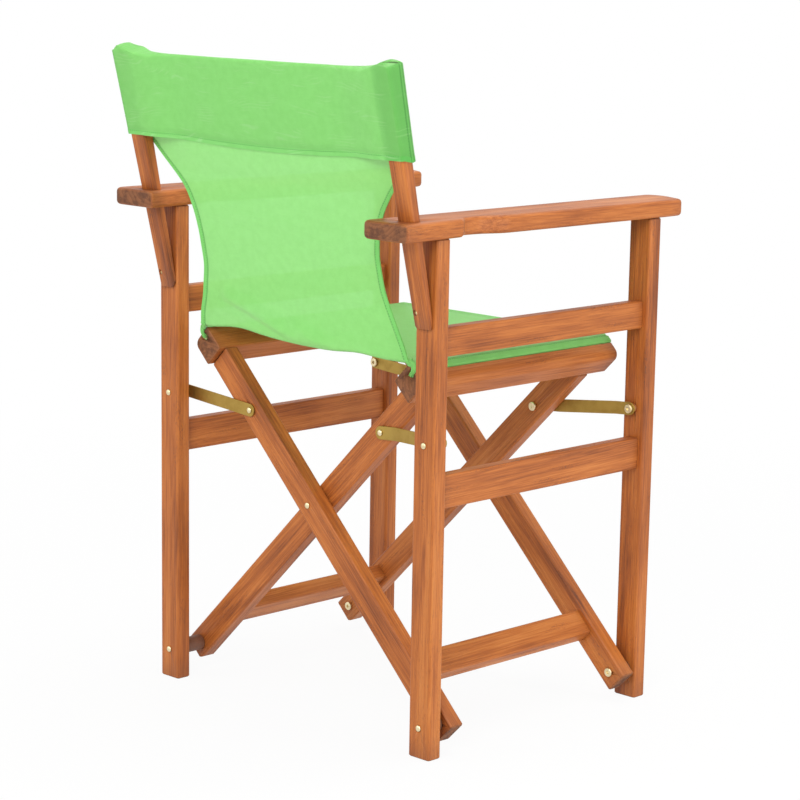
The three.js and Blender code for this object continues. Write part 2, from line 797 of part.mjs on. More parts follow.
function addBack() {
  const back = group(chair, 0, postY, postFoot, -postLean);
  for (const [name, side] of [['left', 1], ['right', -1]]) {
    const post = side > 0 ? backPost(1) : mirrored(backPost(-1));
    place(back, `${name}_back_post`, post, wood, side * postX);
    fasten(chair, `${name}_post_screw`, postScrew(), 1, side * postX + screwOffset, 0, screwHeight);
  }
  place(back, 'back_sleeve', backSleeve(), cloth);
}

addSideFrame('left', 1);
addSideFrame('right', -1);
addCrossedFrame('outer', 1, outerBarY);
addCrossedFrame('inner', -1, innerBarY);
addCrossingRivets();
addBack();
place(chair, 'seat_sling', seatSling(), cloth, 0, 0, crossHeight);
place(chair, 'back_panel', backPanel(), cloth);

// The origin is on the ground, in the middle of the chair's box seen from above.
const middle = new THREE.Box3().setFromObject(chair, true).getCenter(new THREE.Vector3());
chair.position.set(-middle.x, -middle.y, 0);

export default chair;
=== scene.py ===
"""Dresses a folding director's chair: oiled hardwood frames, brass fittings and a green mesh sling."""
import json
import math

import bmesh
import bpy
from mathutils import Matrix, Vector


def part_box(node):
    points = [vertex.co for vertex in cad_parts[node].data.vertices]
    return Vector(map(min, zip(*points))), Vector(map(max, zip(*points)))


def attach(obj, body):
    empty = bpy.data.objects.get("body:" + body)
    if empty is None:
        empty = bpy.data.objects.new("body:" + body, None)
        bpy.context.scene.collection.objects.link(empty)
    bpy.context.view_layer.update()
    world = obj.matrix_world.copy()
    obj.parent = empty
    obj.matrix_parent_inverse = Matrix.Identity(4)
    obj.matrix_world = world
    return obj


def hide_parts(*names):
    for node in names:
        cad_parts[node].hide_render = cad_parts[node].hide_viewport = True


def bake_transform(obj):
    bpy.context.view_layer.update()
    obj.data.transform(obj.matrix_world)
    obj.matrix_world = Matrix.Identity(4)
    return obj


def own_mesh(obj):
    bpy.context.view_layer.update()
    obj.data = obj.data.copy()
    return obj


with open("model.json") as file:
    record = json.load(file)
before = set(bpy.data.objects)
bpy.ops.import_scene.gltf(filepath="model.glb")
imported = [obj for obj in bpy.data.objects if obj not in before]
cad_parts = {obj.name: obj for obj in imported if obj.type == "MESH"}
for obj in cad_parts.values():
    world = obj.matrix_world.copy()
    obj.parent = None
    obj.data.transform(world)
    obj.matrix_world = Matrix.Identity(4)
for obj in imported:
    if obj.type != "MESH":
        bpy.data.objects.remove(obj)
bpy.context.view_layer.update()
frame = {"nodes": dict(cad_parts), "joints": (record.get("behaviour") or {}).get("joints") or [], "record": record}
scene = bpy.context.scene
solids = frame["nodes"]
bodies = frame["record"]["behaviour"]["bodies"]
body_of = {node: body for body, nodes in bodies.items() for node in nodes}
pivots = {joint["name"]: Vector(joint["pos_m"]) for joint in frame["joints"]}

# Places and directions that the parts share, in metres: the sitter's left is +X and the rear +Y
SIDES = {"left": 1, "right": -1}
ENDS = {"rear": 1, "front": -1}
LEAN = math.radians(14)  # of the back posts
across_x, along_y, up_z = Vector((1, 0, 0)), Vector((0, 1, 0)), Vector((0, 0, 1))
up_post = Vector((0, math.sin(LEAN), math.cos(LEAN)))
middle_x = (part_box("left_rear_leg")[0].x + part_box("right_rear_leg")[1].x) / 2
middle_y = (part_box("left_rear_leg")[0].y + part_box("left_front_leg")[1].y) / 2
crossing = Vector((middle_x, middle_y, pivots["scissor"].z))
open_angle = math.atan2(crossing.z - pivots["fold"].z, pivots["fold"].x - middle_x)


# Shader maths


class Value:
    """A socket that takes part in ordinary sums, so that a finish reads as one expression."""

    def __init__(self, finish, socket):
        self.finish, self.socket = finish, socket

    def __add__(self, other):
        return self.finish.sum("ADD", self, other)

    def __sub__(self, other):
        return self.finish.sum("SUBTRACT", self, other)

    def __mul__(self, other):
        return self.finish.sum("MULTIPLY", self, other)

    def __rsub__(self, other):
        return self.finish.sum("SUBTRACT", other, self)

    __radd__, __rmul__ = __add__, __mul__


class Finish:
    """A material or world, and the nodes that make it."""

    def __init__(self, name, world=False):
        self.made = (bpy.data.worlds if world else bpy.data.materials).new(name)
        self.made.use_nodes = True
        self.tree = self.made.node_tree
        self.tree.nodes.clear()
        self.output = "ShaderNodeOutputWorld" if world else "ShaderNodeOutputMaterial"

    def node(self, kind, settings=None, inputs=None, output=0):
        made = self.tree.nodes.new("ShaderNode" + kind)
        for name, value in (settings or {}).items():
            if name == "stops":
                self.set_stops(made.color_ramp, value)
            else:
                setattr(made, name, value)
        for name, value in (inputs or {}).items():
            socket = made.inputs[name]
            if isinstance(value, Value):
                self.tree.links.new(value.socket, socket)
            elif isinstance(value, tuple) and len(value) == 3 and socket.type == "RGBA":
                socket.default_value = (*value, 1)
            else:
                socket.default_value = value
        return Value(self, made.outputs[output])

    def set_stops(self, ramp, stops):
        while len(ramp.elements) < len(stops):
            ramp.elements.new(1)
        for stop, (place, shade) in zip(ramp.elements, stops):
            stop.position = place
        for stop, (place, shade) in zip(ramp.elements, stops):
            stop.color = (*shade, 1) if isinstance(shade, tuple) else (shade, shade, shade, 1)

    def sum(self, operation, a, b=0.0):
        return self.node("Math", {"operation": operation}, {0: a, 1: b})

    def clamp(self, value):
        return self.node("Clamp", {}, {"Value": value})

    def step(self, value, low, high):
        """0 below low, 1 above high and smooth between them."""
        settings = {"interpolation_type": "SMOOTHSTEP"}
        return self.node("MapRange", settings, {"Value": value, "From Min": low, "From Max": high})

    def attribute(self, name, output=2):
        return self.node("Attribute", {"attribute_name": name}, {}, output)

    def place(self):
        """Object coordinates, in metres."""
        return self.node("TexCoord", {}, {}, 3)

    def stretch(self, vector, scale):
        return self.node("VectorMath", {"operation": "MULTIPLY"}, {0: vector, 1: scale})

    def length(self, vector):
        return self.node("VectorMath", {"operation": "LENGTH"}, {0: vector}, 1)

    def part(self, vector, axis):
        return self.node("SeparateXYZ", {}, {0: vector}, "XYZ".index(axis))

    def noise(self, vector, scale=1.0, detail=2.0, roughness=0.5):
        inputs = {"Vector": vector, "Scale": scale, "Detail": detail, "Roughness": roughness}
        return self.node("TexNoise", {}, inputs)

    def patches(self, vector, scale, low, high, detail=2.0, roughness=0.5):
        """Soft patches: 0 and 1 with a smooth edge, so many to the metre along each axis."""
        return self.step(self.noise(self.stretch(vector, scale), 1.0, detail, roughness), low, high)

    def mix(self, share, first, second):
        return self.node("Mix", {"data_type": "RGBA"}, {0: share, 6: first, 7: second}, 2)

    def ramp(self, value, stops):
        return self.node("ValToRGB", {"stops": stops}, {0: value})

    def bump(self, height, distance, strength=1.0):
        return self.node("Bump", {}, {"Height": height, "Distance": distance, "Strength": strength})

    def ray(self, kind):
        """1 for rays of one kind, such as "Camera", and 0 for others."""
        return self.node("LightPath", {}, {}, f"Is {kind} Ray")

    def seen(self):
        """1 for what the camera sees, straight or in brass, and 0 for what lights the chair."""
        return self.clamp(self.ray("Camera") + self.ray("Glossy") + self.ray("Transmission"))

    def surface(self, **inputs):
        named = {name.replace("_", " "): value for name, value in inputs.items()}
        return self.node("BsdfPrincipled", {}, named)

    def finished(self, shader):
        out = self.tree.nodes.new(self.output)
        self.tree.links.new(shader.socket, out.inputs["Surface"])
        return self.made


def oiled_hardwood():
    """Reddish hardwood: growth rings round a heart beside the board, fibres, pores and dark ends."""
    wood = Finish("oiled_hardwood")
    grain = wood.attribute("grain", 1)
    board = wood.attribute("board", 1)
    end = wood.attribute("end_grain")
    along, half_long, tone_and_painted_light = (wood.part(board, axis) for axis in "XYZ")

    wander = wood.noise(wood.stretch(grain, (3.5, 16, 16)), detail=3)
    drift = wood.noise(wood.stretch(grain, (9, 60, 60)), detail=2)
    rings = wood.length(wood.stretch(grain, (0, 1, 1))) * 165 + wander * 5 + drift * 1.1
    one_ring = [(0, 0.15), (0.35, 0.3), (0.72, 0.75), (0.9, 1.0), (1, 0.15)]
    ring = wood.node("RGBToBW", {}, {0: wood.ramp(wood.sum("FRACT", rings), one_ring)})
    strong = wood.patches(grain, (4, 30, 30), 0.35, 0.7, 1)
    fibre = wood.patches(grain, (14, 620, 620), 0.3, 0.7, 3, 0.65)
    strand = wood.patches(grain, (6, 190, 190), 0.36, 0.66, 2, 0.6)
    band = wood.patches(grain, (1.6, 55, 55), 0.34, 0.68)
    cloud = wood.patches(grain, (7, 26, 26), 0.3, 0.72)
    stain = wood.patches(grain, (5, 44, 44), 0.6, 0.78, 3, 0.6)
    worn = wood.patches(grain, (9, 70, 70), 0.56, 0.72, 3)
    fuzz = wood.patches(grain, (240, 900, 900), 0.45, 0.75, 2, 0.7) * worn
    pores = wood.patches(grain, (110, 1500, 1500), 0.6, 0.72, 1) * wood.step(wander, 0.35, 0.6)
    grime = wood.patches(grain, (60, 75, 75), 0.44, 0.62, 3, 0.6)

    # Painted light: the board's tone also lightens the seat rails, stretchers and lower side rails, which lie in
    # shade.
    depth = wood.clamp(
        ring * (0.02 + 0.12 * strong) + fibre * 0.36 + cloud * 0.26 + band * 0.27 + strand * 0.14
        + fuzz * 0.6 + stain * 0.42 + tone_and_painted_light - 0.05
    )
    shade = wood.ramp(depth, [
        (0.0, (0.61, 0.215, 0.046)), (0.35, (0.5, 0.148, 0.025)),
        (0.62, (0.37, 0.099, 0.016)), (1.0, (0.16, 0.04, 0.01)),
    ])
    shade = wood.mix(pores * 0.4, shade, (0.14, 0.036, 0.012))
    shade = wood.mix(fuzz * 0.22, shade, (0.34, 0.19, 0.12))
    near_end = 1 - wood.step(half_long - wood.sum("ABSOLUTE", along), 0.0, 0.035)
    shade = wood.mix(near_end * 0.3, shade, (0.17, 0.058, 0.026))
    end_shade = wood.mix(ring * 0.6 + pores * 0.3, (0.25, 0.105, 0.048), (0.085, 0.036, 0.02))
    end_shade = wood.mix(grime * 0.75, end_shade, (0.04, 0.024, 0.02))
    surface = wood.surface(
        Base_Color=wood.mix(end * 0.8, shade, end_shade),
        Roughness=wood.clamp(0.46 + fibre * 0.1 + end * 0.25 + cloud * 0.06 + worn * 0.1),
        Specular_IOR_Level=0.35,
        Normal=wood.bump(fibre * 0.5 + pores * -1.0 + ring * 0.12 + fuzz * 0.8, 0.00022, 0.6),
        Coat_Weight=wood.clamp(0.12 - end * 0.1),
        Coat_Roughness=0.3,
    )
    return wood.finished(surface)


def brass(name, clean, tarnish, roughness):
    """Brass that has dulled in clouds and carries fine rubbing marks."""
    metal = Finish(name)
    place = metal.place()
    cloud = metal.step(metal.noise(place, 60, 3, 0.6), 0.35, 0.75)
    rubbed = metal.noise(metal.stretch(place, (260, 260, 2600)), detail=2)
    surface = metal.surface(
        Base_Color=metal.mix(metal.clamp(cloud * 0.6 + rubbed * 0.2), clean, tarnish),
        Metallic=1.0,
        Roughness=metal.clamp(roughness + cloud * 0.16 + rubbed * 0.08),
        Normal=metal.bump(rubbed + cloud * 0.5, 0.00004, 0.4),
    )
    return metal.finished(surface)


def spacer_plastic():
    """Dark brown plastic with a dull, mottled skin."""
    tube = Finish("spacer_plastic")
    mottle = tube.noise(tube.place(), 420, 3)
    surface = tube.surface(
        Base_Color=tube.mix(mottle, (0.13, 0.05, 0.026), (0.2, 0.085, 0.045)),
        Roughness=tube.clamp(0.46 + mottle * 0.2),
        Normal=tube.bump(mottle, 0.00008, 0.6),
    )
    return tube.finished(surface)


RIB, COURSE = 0.0021, 0.0017  # from one rib of the knit to the next, and from one row to the next


def mesh_cloth():
    """Open knitted mesh: fine eyelets between ribs, light through them, darker along its seams, partly for the
    joins and partly as painted shadow in their grooves.

    The weave attribute is a place on the flat cloth, with Z at -1 where the cloth is one layer. The
    build attribute says how doubled the cloth is, how near a seam (which also carries painted shadow
    beside seams and laps), and how much shade is painted on it.
    """
    net = Finish("mesh_cloth")
    weave = net.attribute("weave", 1)
    across, along = net.part(weave, "X"), net.part(weave, "Y")
    layered = net.step(net.part(weave, "Z"), -0.5, -0.4)
    build = net.attribute("build", 1)
    doubled, seam, shade = (net.part(build, axis) for axis in "XYZ")

    ribs = net.sum("SINE", across * (math.tau / RIB))
    courses = net.sum("SINE", along * (math.tau / COURSE))
    eyelet = net.step(ribs * courses, 0.15, 0.9)
    streaks = net.noise(net.stretch(weave, (38, 420, 1)), detail=2)
    mottle = net.patches(weave, (85, 85, 1), 0.3, 0.7, 3, 0.6)
    warp = net.noise(net.stretch(weave, (9, 22, 1)), detail=2)
    moire = net.step(net.sum("SINE", along * 1300 + warp * 70), 0.35, 1.0)
    moire = moire * net.patches(weave, (24, 60, 1), 0.5, 0.68, 1) * layered

    pale = net.mix(mottle, (0.3, 0.84, 0.205), (0.335, 0.89, 0.235))
    colour = net.mix(net.clamp(eyelet * 0.14 + (streaks - 0.5) * 0.3), pale, (0.2, 0.64, 0.13))
    # Painted shade: the build's shade darkens the sleeve over the posts and round its ends, and the panel near its
    # edges.
    colour = net.mix(net.clamp(doubled * 0.34 + shade), colour, (0.11, 0.5, 0.08))
    colour = net.mix(moire * 0.24, colour, (0.62, 0.96, 0.5))
    # Seams: partly the dark join, partly painted shadow in the groove and at the step beside it.
    colour = net.mix(net.clamp(seam * 0.8), colour, (0.035, 0.2, 0.03))
    colour = net.mix(net.ray("Diffuse") * 0.9, colour, (0.5, 0.52, 0.42))  # keeps green light off the wood
    surface = net.surface(
        Base_Color=colour,
        Roughness=0.62,
        Sheen_Weight=0.15,
        Sheen_Roughness=0.5,
        Specular_IOR_Level=0.35,
        Alpha=net.clamp(0.79 - eyelet * 0.12 + doubled * 0.16 + seam * 0.14),
        Normal=net.bump(ribs * 0.5 + courses * 0.5 + mottle * 0.4 + streaks * 0.6 - seam * 2.0, 0.0002, 0.6),
    )
    through = net.node("BsdfTranslucent", {}, {"Color": (0.55, 0.87, 0.42)})
    share = net.clamp(0.22 - doubled * 0.1 - seam * 0.12)
    lit = net.node("MixShader", {}, {0: share, 1: surface, 2: through})
    return net.finished(lit)


def sewing_thread():
    """Dark green thread, twisted from finer ones."""
    twist = Finish("sewing_thread")
    ply = twist.noise(twist.place(), 1800, 1)
    surface = twist.surface(
        Base_Color=twist.mix(ply, (0.05, 0.26, 0.04), (0.1, 0.4, 0.08)),
        Roughness=twist.clamp(0.5 + ply * 0.2),
        Normal=twist.bump(ply, 0.00005, 0.5),
    )
    return twist.finished(surface)


hardwood = oiled_hardwood()
strap_brass = brass("strap_brass", (0.45, 0.302, 0.076), (0.35, 0.226, 0.052), 0.42)
rivet_brass = brass("rivet_brass", (0.86, 0.76, 0.5), (0.6, 0.46, 0.24), 0.26)
tube_plastic = spacer_plastic()
green_mesh = mesh_cloth()
green_thread = sewing_thread()


# Pieces in general


def piece(name, shape, material, body=None, stands_for=()):
    """Makes an object of a bmesh, parents it to the body it rides on, and hides the solids it stands for."""
    mesh = bpy.data.meshes.new(name)
    shape.to_mesh(mesh)
    shape.free()
    mesh.materials.append(material)
    made = bpy.data.objects.new(name, mesh)
    scene.collection.objects.link(made)
    if body:
        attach(made, body)
    if stands_for:
        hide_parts(*stands_for)
    return made


def smooth(made, angle):
    """Shades a piece smooth, except across edges sharper than angle, and keeps its flats flat."""
    for face in made.data.polygons:
        face.use_smooth = True
    made.data.set_sharp_from_angle(angle=math.radians(angle))
    even = made.modifiers.new("flats", "WEIGHTED_NORMAL")
    even.keep_sharp = True
    return made


def merged(name):
    """A copy of a solid's mesh whose loose triangles are joined."""
    shape = bmesh.new()
    shape.from_mesh(solids[name].data)
    bmesh.ops.remove_doubles(shape, verts=shape.verts, dist=2e-6)
    return shape


# Wood

made_boards = []


def board(name, along, across, heart, tone_and_painted_light=0.0, slope=(0.012, 0.007)):
    """Dresses a wooden solid as a board whose grain runs along it.

    heart is how far the tree's heart lies beside the board, across it and through it, slope is how
    much it nears or leaves the board along its length, and tone is darker above 0. It holds each
    board's own darkness, and on the seat rails, stretchers and lower side rails painted light that
    sets them lighter where they lie low and in shade.
    """
    shape = merged(name)
    along, across = along.normalized(), across.normalized()
    deep = along.cross(across)
    spots = [vert.co for vert in shape.verts]
    reach = [spot.dot(along) for spot in spots]
    centre = sum(spots, Vector()) / len(spots)
    middle = (max(reach) + min(reach)) / 2
    half = (max(reach) - min(reach)) / 2
    shift = len(made_boards) * 1.37 + 0.61  # no two boards come from the same length of tree
    grain = shape.verts.layers.float_vector.new("grain")
    place = shape.verts.layers.float_vector.new("board")
    end_grain = shape.faces.layers.float.new("end_grain")
    for vert in shape.verts:
        run = vert.co.dot(along) - middle
        wide = (vert.co - centre).dot(across) + heart[0] + run * slope[0]
        thick = (vert.co - centre).dot(deep) + heart[1] + run * slope[1]
        vert[grain] = Vector((run + shift, wide, thick))
        vert[place] = Vector((run, half, tone_and_painted_light))
    for face in shape.faces:
        face[end_grain] = min(1.0, max(0.0, abs(face.normal.dot(along)) * 3.0 - 1.6))
    made_boards.append(name)
    return smooth(piece(f"{name}_wood", shape, hardwood, body_of[name], [name]), 50)


for side, sign in SIDES.items():
    board(f"{side}_rear_leg", up_z, across_x, (0.05 * sign, 0.03), 0.02 if side == "left" else -0.03)
    board(f"{side}_front_leg", up_z, across_x, (0.035, -0.06 * sign), 0.06)
    board(f"{side}_upper_side_rail", along_y, up_z, (0.045, 0.05 * sign), 0.03)
    # Painted light: the lower side rail's tone is set lighter for the shade it lies in.
    board(f"{side}_lower_side_rail", along_y, up_z, (-0.07, 0.035), -0.04, (0.02, -0.01))
    board(f"{side}_armrest", along_y, across_x, (0.03 * sign, 0.05), -0.02, (0.02, 0.01))
    board(f"{side}_back_post", up_post, across_x, (0.05, 0.02), 0.12)
    up_bar = Vector((math.cos(open_angle) * sign, 0, math.sin(open_angle)))
    over_bar = Vector((-math.sin(open_angle) * sign, 0, math.cos(open_angle)))
    bars, far_side = ("outer", "right") if side == "left" else ("inner", "left")
    for end, way in ENDS.items():
        board(f"{bars}_{end}_bar", up_bar, over_bar, (0.05 * way, 0.04), 0.05 * way)
    # Painted light: the seat rail and the stretcher get a light tone for the shade they lie in.
    board(f"{side}_seat_rail", along_y, over_bar, (0.03, 0.05), -0.2)
    board(f"{far_side}_stretcher", along_y, over_bar, (0.05, 0.03), -0.14)


# Fittings: turned about Z, from the head's face at height 0 to the dome at the far end

SHANK = 0.003  # radii and heights, in metres
HEAD, HEAD_TALL = 0.006, 0.003
DOME, DOME_TALL, DOME_RIM, DOME_STEPS = 0.004, 0.0022, 0.0005, 7
SOCKET, SOCKET_DEEP, SOCKET_LIP = 0.0025, 0.0018, 0.0003
SMALL_SOCKET, SMALL_SOCKET_DEEP = 0.0016, 0.0008
STRAP_COLLAR = [
    (SHANK, 0.0056), (HEAD - 0.0003, 0.0056), (HEAD, 0.0059), (HEAD, 0.0111), (SHANK, 0.0111),
]


def turned(profile, sides=36):
    """A body of revolution about Z through (radius, height) points."""
    shape = bmesh.new()
    verts = [shape.verts.new((radius, 0, height)) for radius, height in profile]
    edges = [shape.edges.new(pair) for pair in zip(verts, verts[1:])]
    bmesh.ops.spin(
        shape, geom=verts + edges, cent=(0, 0, 0), axis=(0, 0, 1), angle=math.tau, steps=sides, use_merge=True
    )
    bmesh.ops.remove_doubles(shape, verts=shape.verts, dist=1e-6)
    bmesh.ops.recalc_face_normals(shape, faces=shape.faces)
    return shape


def dome(foot):
    """Points of a low dome with a small upright rim, from its edge to its top."""
    turn = [math.pi / 2 * i / DOME_STEPS for i in range(DOME_STEPS)]
    rise = DOME_TALL - DOME_RIM
    points = [(DOME * math.cos(a), foot + DOME_RIM + rise * math.sin(a)) for a in turn]
    return [(DOME, foot)] + points + [(0, foot + DOME_TALL)]


def far_end(long):
    """The end of the shank of a fitting this long, and its dome."""
    return [(SHANK, long - DOME_TALL)] + dome(long - DOME_TALL)


def head(socket=SOCKET, deep=SOCKET_DEEP):
    """A rounded disc with a key socket in its face."""
    return [
        (0, deep), (socket * 0.96, deep), (socket, deep - 0.0002), (socket, 0.0002), (socket + SOCKET_LIP, 0),
        (HEAD - 0.0011, 0), (HEAD - 0.0005, 0.00015), (HEAD - 0.0001, 0.0006), (HEAD, 0.0011),
        (HEAD, HEAD_TALL - 0.0003), (HEAD - 0.0003, HEAD_TALL), (SHANK, HEAD_TALL),
    ]


def spacer(long):
    """A tube with eased rims inside and out."""
    bore, wall = 0.0033, 0.0105
    return [
        (bore, 0.0005), (bore + 0.0005, 0), (wall - 0.0008, 0), (wall, 0.0008), (wall, long - 0.0008),
        (wall - 0.0008, long), (bore + 0.0005, long), (bore, long - 0.0005), (bore, 0.0005),
    ]


def wood_screw(long):
    """A screw from its point to its rounded head, which has a shallow round drive."""
    thread, rim, drive = 0.0018, 0.0032, 0.0014
    return [
        (0, 0), (thread, 0.0035), (thread, long - 0.0024), (rim, long - 0.0014), (rim, long - 0.0009),
        (rim - 0.0005, long - 0.0003), (drive + 0.0002, long), (drive, long - 0.0007), (0, long - 0.0007),
    ]


def set_fitting(shape, node, way):
    """Turns a fitting so that its far end points along Y, outward, and sets it on its solid's axis."""
    low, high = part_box(node)
    axis = Vector(((low.x + high.x) / 2, low.y if way > 0 else high.y, (low.z + high.z) / 2))
    turn = Matrix(((1, 0, 0), (0, 0, way), (0, -way, 0))).to_4x4()
    bmesh.ops.transform(shape, matrix=Matrix.Translation(axis) @ turn, verts=shape.verts)
    bmesh.ops.recalc_face_normals(shape, faces=shape.faces)


def cut_key_socket(shape):
    """Draws the socket's rings out of round, for a hexagon key."""
    for vert in shape.verts:
        flat = math.hypot(vert.co.x, vert.co.y)
        if 1e-5 < flat <= SOCKET + SOCKET_LIP + 1e-6 and vert.co.z <= SOCKET_DEEP + 1e-6:
            turn = math.atan2(vert.co.y, vert.co.x) % (math.pi / 3) - math.pi / 6
            grow = math.cos(math.pi / 6) / math.cos(turn)
            vert.co.x *= grow
            vert.co.y *= grow


def fitting(node, profile, way, keyed=False, material=rivet_brass):
    shape = turned(profile)
    if keyed:
        cut_key_socket(shape)
    set_fitting(shape, node, way)
    return smooth(piece(f"{node}_fitting", shape, material, body_of[node], [node]), 40)


def long_of(node):
    low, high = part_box(node)
    return high.y - low.y


def end_fittings(corner, way):
    """The pivots, rivet and spacer where one leg and one bar meet, named by their corner."""
    bolt, pivot, rivet = f"{corner}_pivot_bolt", f"{corner}_strap_pivot", f"{corner}_strap_rivet"
    fitting(bolt, head() + far_end(long_of(bolt)), way, keyed=True)
    fitting(pivot, head() + STRAP_COLLAR + far_end(long_of(pivot)), way, keyed=True)
    fitting(f"{rivet}_head", [(0, 0), (SHANK, 0)] + far_end(long_of(f"{rivet}_head")), way)
    long = long_of(f"{rivet}_shank")
    fitting(f"{rivet}_shank", head(SMALL_SOCKET, SMALL_SOCKET_DEEP) + [(SHANK, long), (0, long)], way)
    tube = f"{corner}_pivot_spacer"
    fitting(tube, spacer(long_of(tube)), way, material=tube_plastic)


for side in SIDES:
    for end, way in ENDS.items():
        end_fittings(f"{side}_{end}", way)
    screw = f"{side}_post_screw"
    fitting(screw, wood_screw(long_of(screw)), 1)
for end, way in ENDS.items():
    rivet = f"{end}_crossing_rivet"
    near_dome = [(radius, DOME_TALL - height) for radius, height in reversed(dome(0))]
    fitting(rivet, near_dome + [(SHANK, DOME_TALL)] + far_end(long_of(rivet)), way)


def strap(node):
    """A flat brass strap with its punched edges eased."""
    shape = merged(node)
    rims = [edge for edge in shape.edges if edge.calc_face_angle(0) > math.radians(55)]
    bmesh.ops.bevel(shape, geom=rims, offset=0.00035, segments=2, profile=0.5, affect="EDGES", material=-1)
    return smooth(piece(f"{node}_brass", shape, strap_brass, body_of[node], [node]), 40)


for side in SIDES:
    for end in ENDS:
        strap(f"{side}_{end}_strap")
    rod = solids[f"{side}_cloth_rod"].data
    rod.materials.clear()
    rod.materials.append(rivet_brass)


# Cloth: grids of points with a thickness, stretched between rails and posts

SHEET = 0.0008  # thickness
STITCH, STITCH_LONG = 0.0034, 0.0021  # from one stitch to the next, and the thread that shows
STITCH_HALF, STITCH_PROUD = 0.00045, 0.00035
STITCH_LIFT = 0.0009  # from the middle of a hem to the stitches on it
HEM_STITCH = 0.0055  # from a hem's edge to its stitches


def ease(value, low, high):
    """0 below low, 1 above high and smooth between them."""
    share = min(1.0, max(0.0, (value - low) / (high - low)))
    return share * share * (3 - 2 * share)


def between(a, b, share):
    return a + (b - a) * share


def spread(stops, longest):
    """Values from stop to stop with no step longer than longest."""
    values = [stops[0]]
    for low, high in zip(stops, stops[1:]):
        steps = max(1, math.ceil(abs(high - low) / longest - 1e-6))
        values += [low + (high - low) * i / steps for i in range(1, steps + 1)]
    return values


def curved(points, place):
    """Height at a place along a smooth curve through (place, height) points."""
    k = max([0] + [i for i in range(len(points) - 1) if points[i][0] <= place])
    (p0, h0), (p3, h3) = points[max(k - 1, 0)], points[min(k + 2, len(points) - 1)]
    (p1, h1), (p2, h2) = points[k], points[k + 1]
    t = min(1.0, max(0.0, (place - p1) / (p2 - p1)))
    rise1 = (h2 - h0) / (p2 - p0) * (p2 - p1)
    rise2 = (h3 - h1) / (p3 - p1) * (p2 - p1)
    start, end = (2 * t - 3) * t * t + 1, (3 - 2 * t) * t * t
    return start * h1 + end * h2 + (t - 2) * t * t * rise1 + t * rise1 + (t - 1) * t * t * rise2


def arc(centre, radius, first, last, steps):
    """Points round a centre from one angle to another, in degrees."""
    turn = [math.radians(first + (last - first) * i / steps) for i in range(steps + 1)]
    return [(centre[0] + radius * math.cos(a), centre[1] + radius * math.sin(a)) for a in turn]


def lengths_of(points):
    """Distances along a run of points from its start."""
    lengths = [0.0]
    for a, b in zip(points, points[1:]):
        lengths.append(lengths[-1] + (b - a).length)
    return lengths


def woven(columns, rows, place):
    """A grid of cloth: place gives a point's spot, where it is in the weave and how it is made there."""
    shape = bmesh.new()
    weave = shape.verts.layers.float_vector.new("weave")
    build = shape.verts.layers.float_vector.new("build")
    bmesh.ops.create_grid(shape, x_segments=columns - 1, y_segments=rows - 1, size=0.5)
    for vert in shape.verts:
        column = round((vert.co.x + 0.5) * (columns - 1))
        row = round((vert.co.y + 0.5) * (rows - 1))
        vert.co, vert[weave], vert[build] = place(column, row)
    return shape


def thicken(shape):
    """Gives a sheet its thickness, half to each side, and more where it is turned over."""
    bmesh.ops.recalc_face_normals(shape, faces=shape.faces)
    order = shape.verts.layers.int.new("order")
    build = shape.verts.layers.float_vector["build"]
    shape.normal_update()
    outer = list(shape.verts)
    lift = [vert.normal * SHEET * (0.5 + 0.35 * vert[build].x) for vert in outer]
    spots = [vert.co.copy() for vert in outer]
    for i, vert in enumerate(outer):
        vert[order] = i
    bmesh.ops.solidify(shape, geom=shape.faces[:], thickness=SHEET)
    outer = set(outer)
    for vert in shape.verts:
        vert.co = spots[vert[order]] + lift[vert[order]] * (1 if vert in outer else -1)
    shape.verts.layers.int.remove(order)
    bmesh.ops.recalc_face_normals(shape, faces=shape.faces)


def sew(shape, run, up):
    """Adds a line of short stitches along a run of points that lies on the cloth."""
    lengths = lengths_of(run)
    count = max(1, int(lengths[-1] / STITCH))
    size = Matrix.Diagonal((STITCH_LONG / 2, STITCH_HALF, STITCH_PROUD, 1))
    for i in range(count):
        aim = (i + 0.5) * lengths[-1] / count
        k = max(j for j in range(len(run) - 1) if lengths[j] <= aim)
        ahead = (run[k + 1] - run[k]).normalized()
        spot = run[k] + ahead * (aim - lengths[k])
        side = up.cross(ahead).normalized()
        turn = Matrix((ahead, side, ahead.cross(side))).transposed().to_4x4()
        place = Matrix.Translation(spot) @ turn @ size
        bmesh.ops.create_icosphere(shape, subdivisions=1, radius=1, matrix=place)


def cloth_piece(name, shape, material, stands_for=()):
    made = piece(name, shape, material, None, stands_for)
    for face in made.data.polygons:
        face.use_smooth = True
    made.data.set_sharp_from_angle(angle=math.radians(65))
    return made


# Seat: round both rods, out of the rails' grooves, over their inner corners and across. Spots on
# the left rail are in millimetres in its bar's frame: up the bar, and across it.

SEAT_FRONT, SEAT_REAR = -0.1833, 0.1835  # from the middle of the chair
SEAT_SAG, SEAT_HEM, SEAT_RIPPLE = 0.002, 0.0102, 0.0005
ROD = (274.5, 5)
ROUND_FRONT = 0.004  # how far the front edge draws back where it goes over a rail's corner
LOOP_CLOSING = (0.9, 0.62, 0.18)  # how open the loop round the right rod is in its last rows
LOOP_PAST = 0.0022  # how far those rows stand past the others
LAP_EDGE_SHADOW = {-1: 0.3, 0: 0.8, 1: 0.5}  # painted shadow along the lap's edge, by columns from the rail's corner
REAR_LIFTS = (0.0046, 0.128, 0.042), (0.0032, -0.098, 0.034), (0.0036, 0.1, 0.07)  # height, x, half width

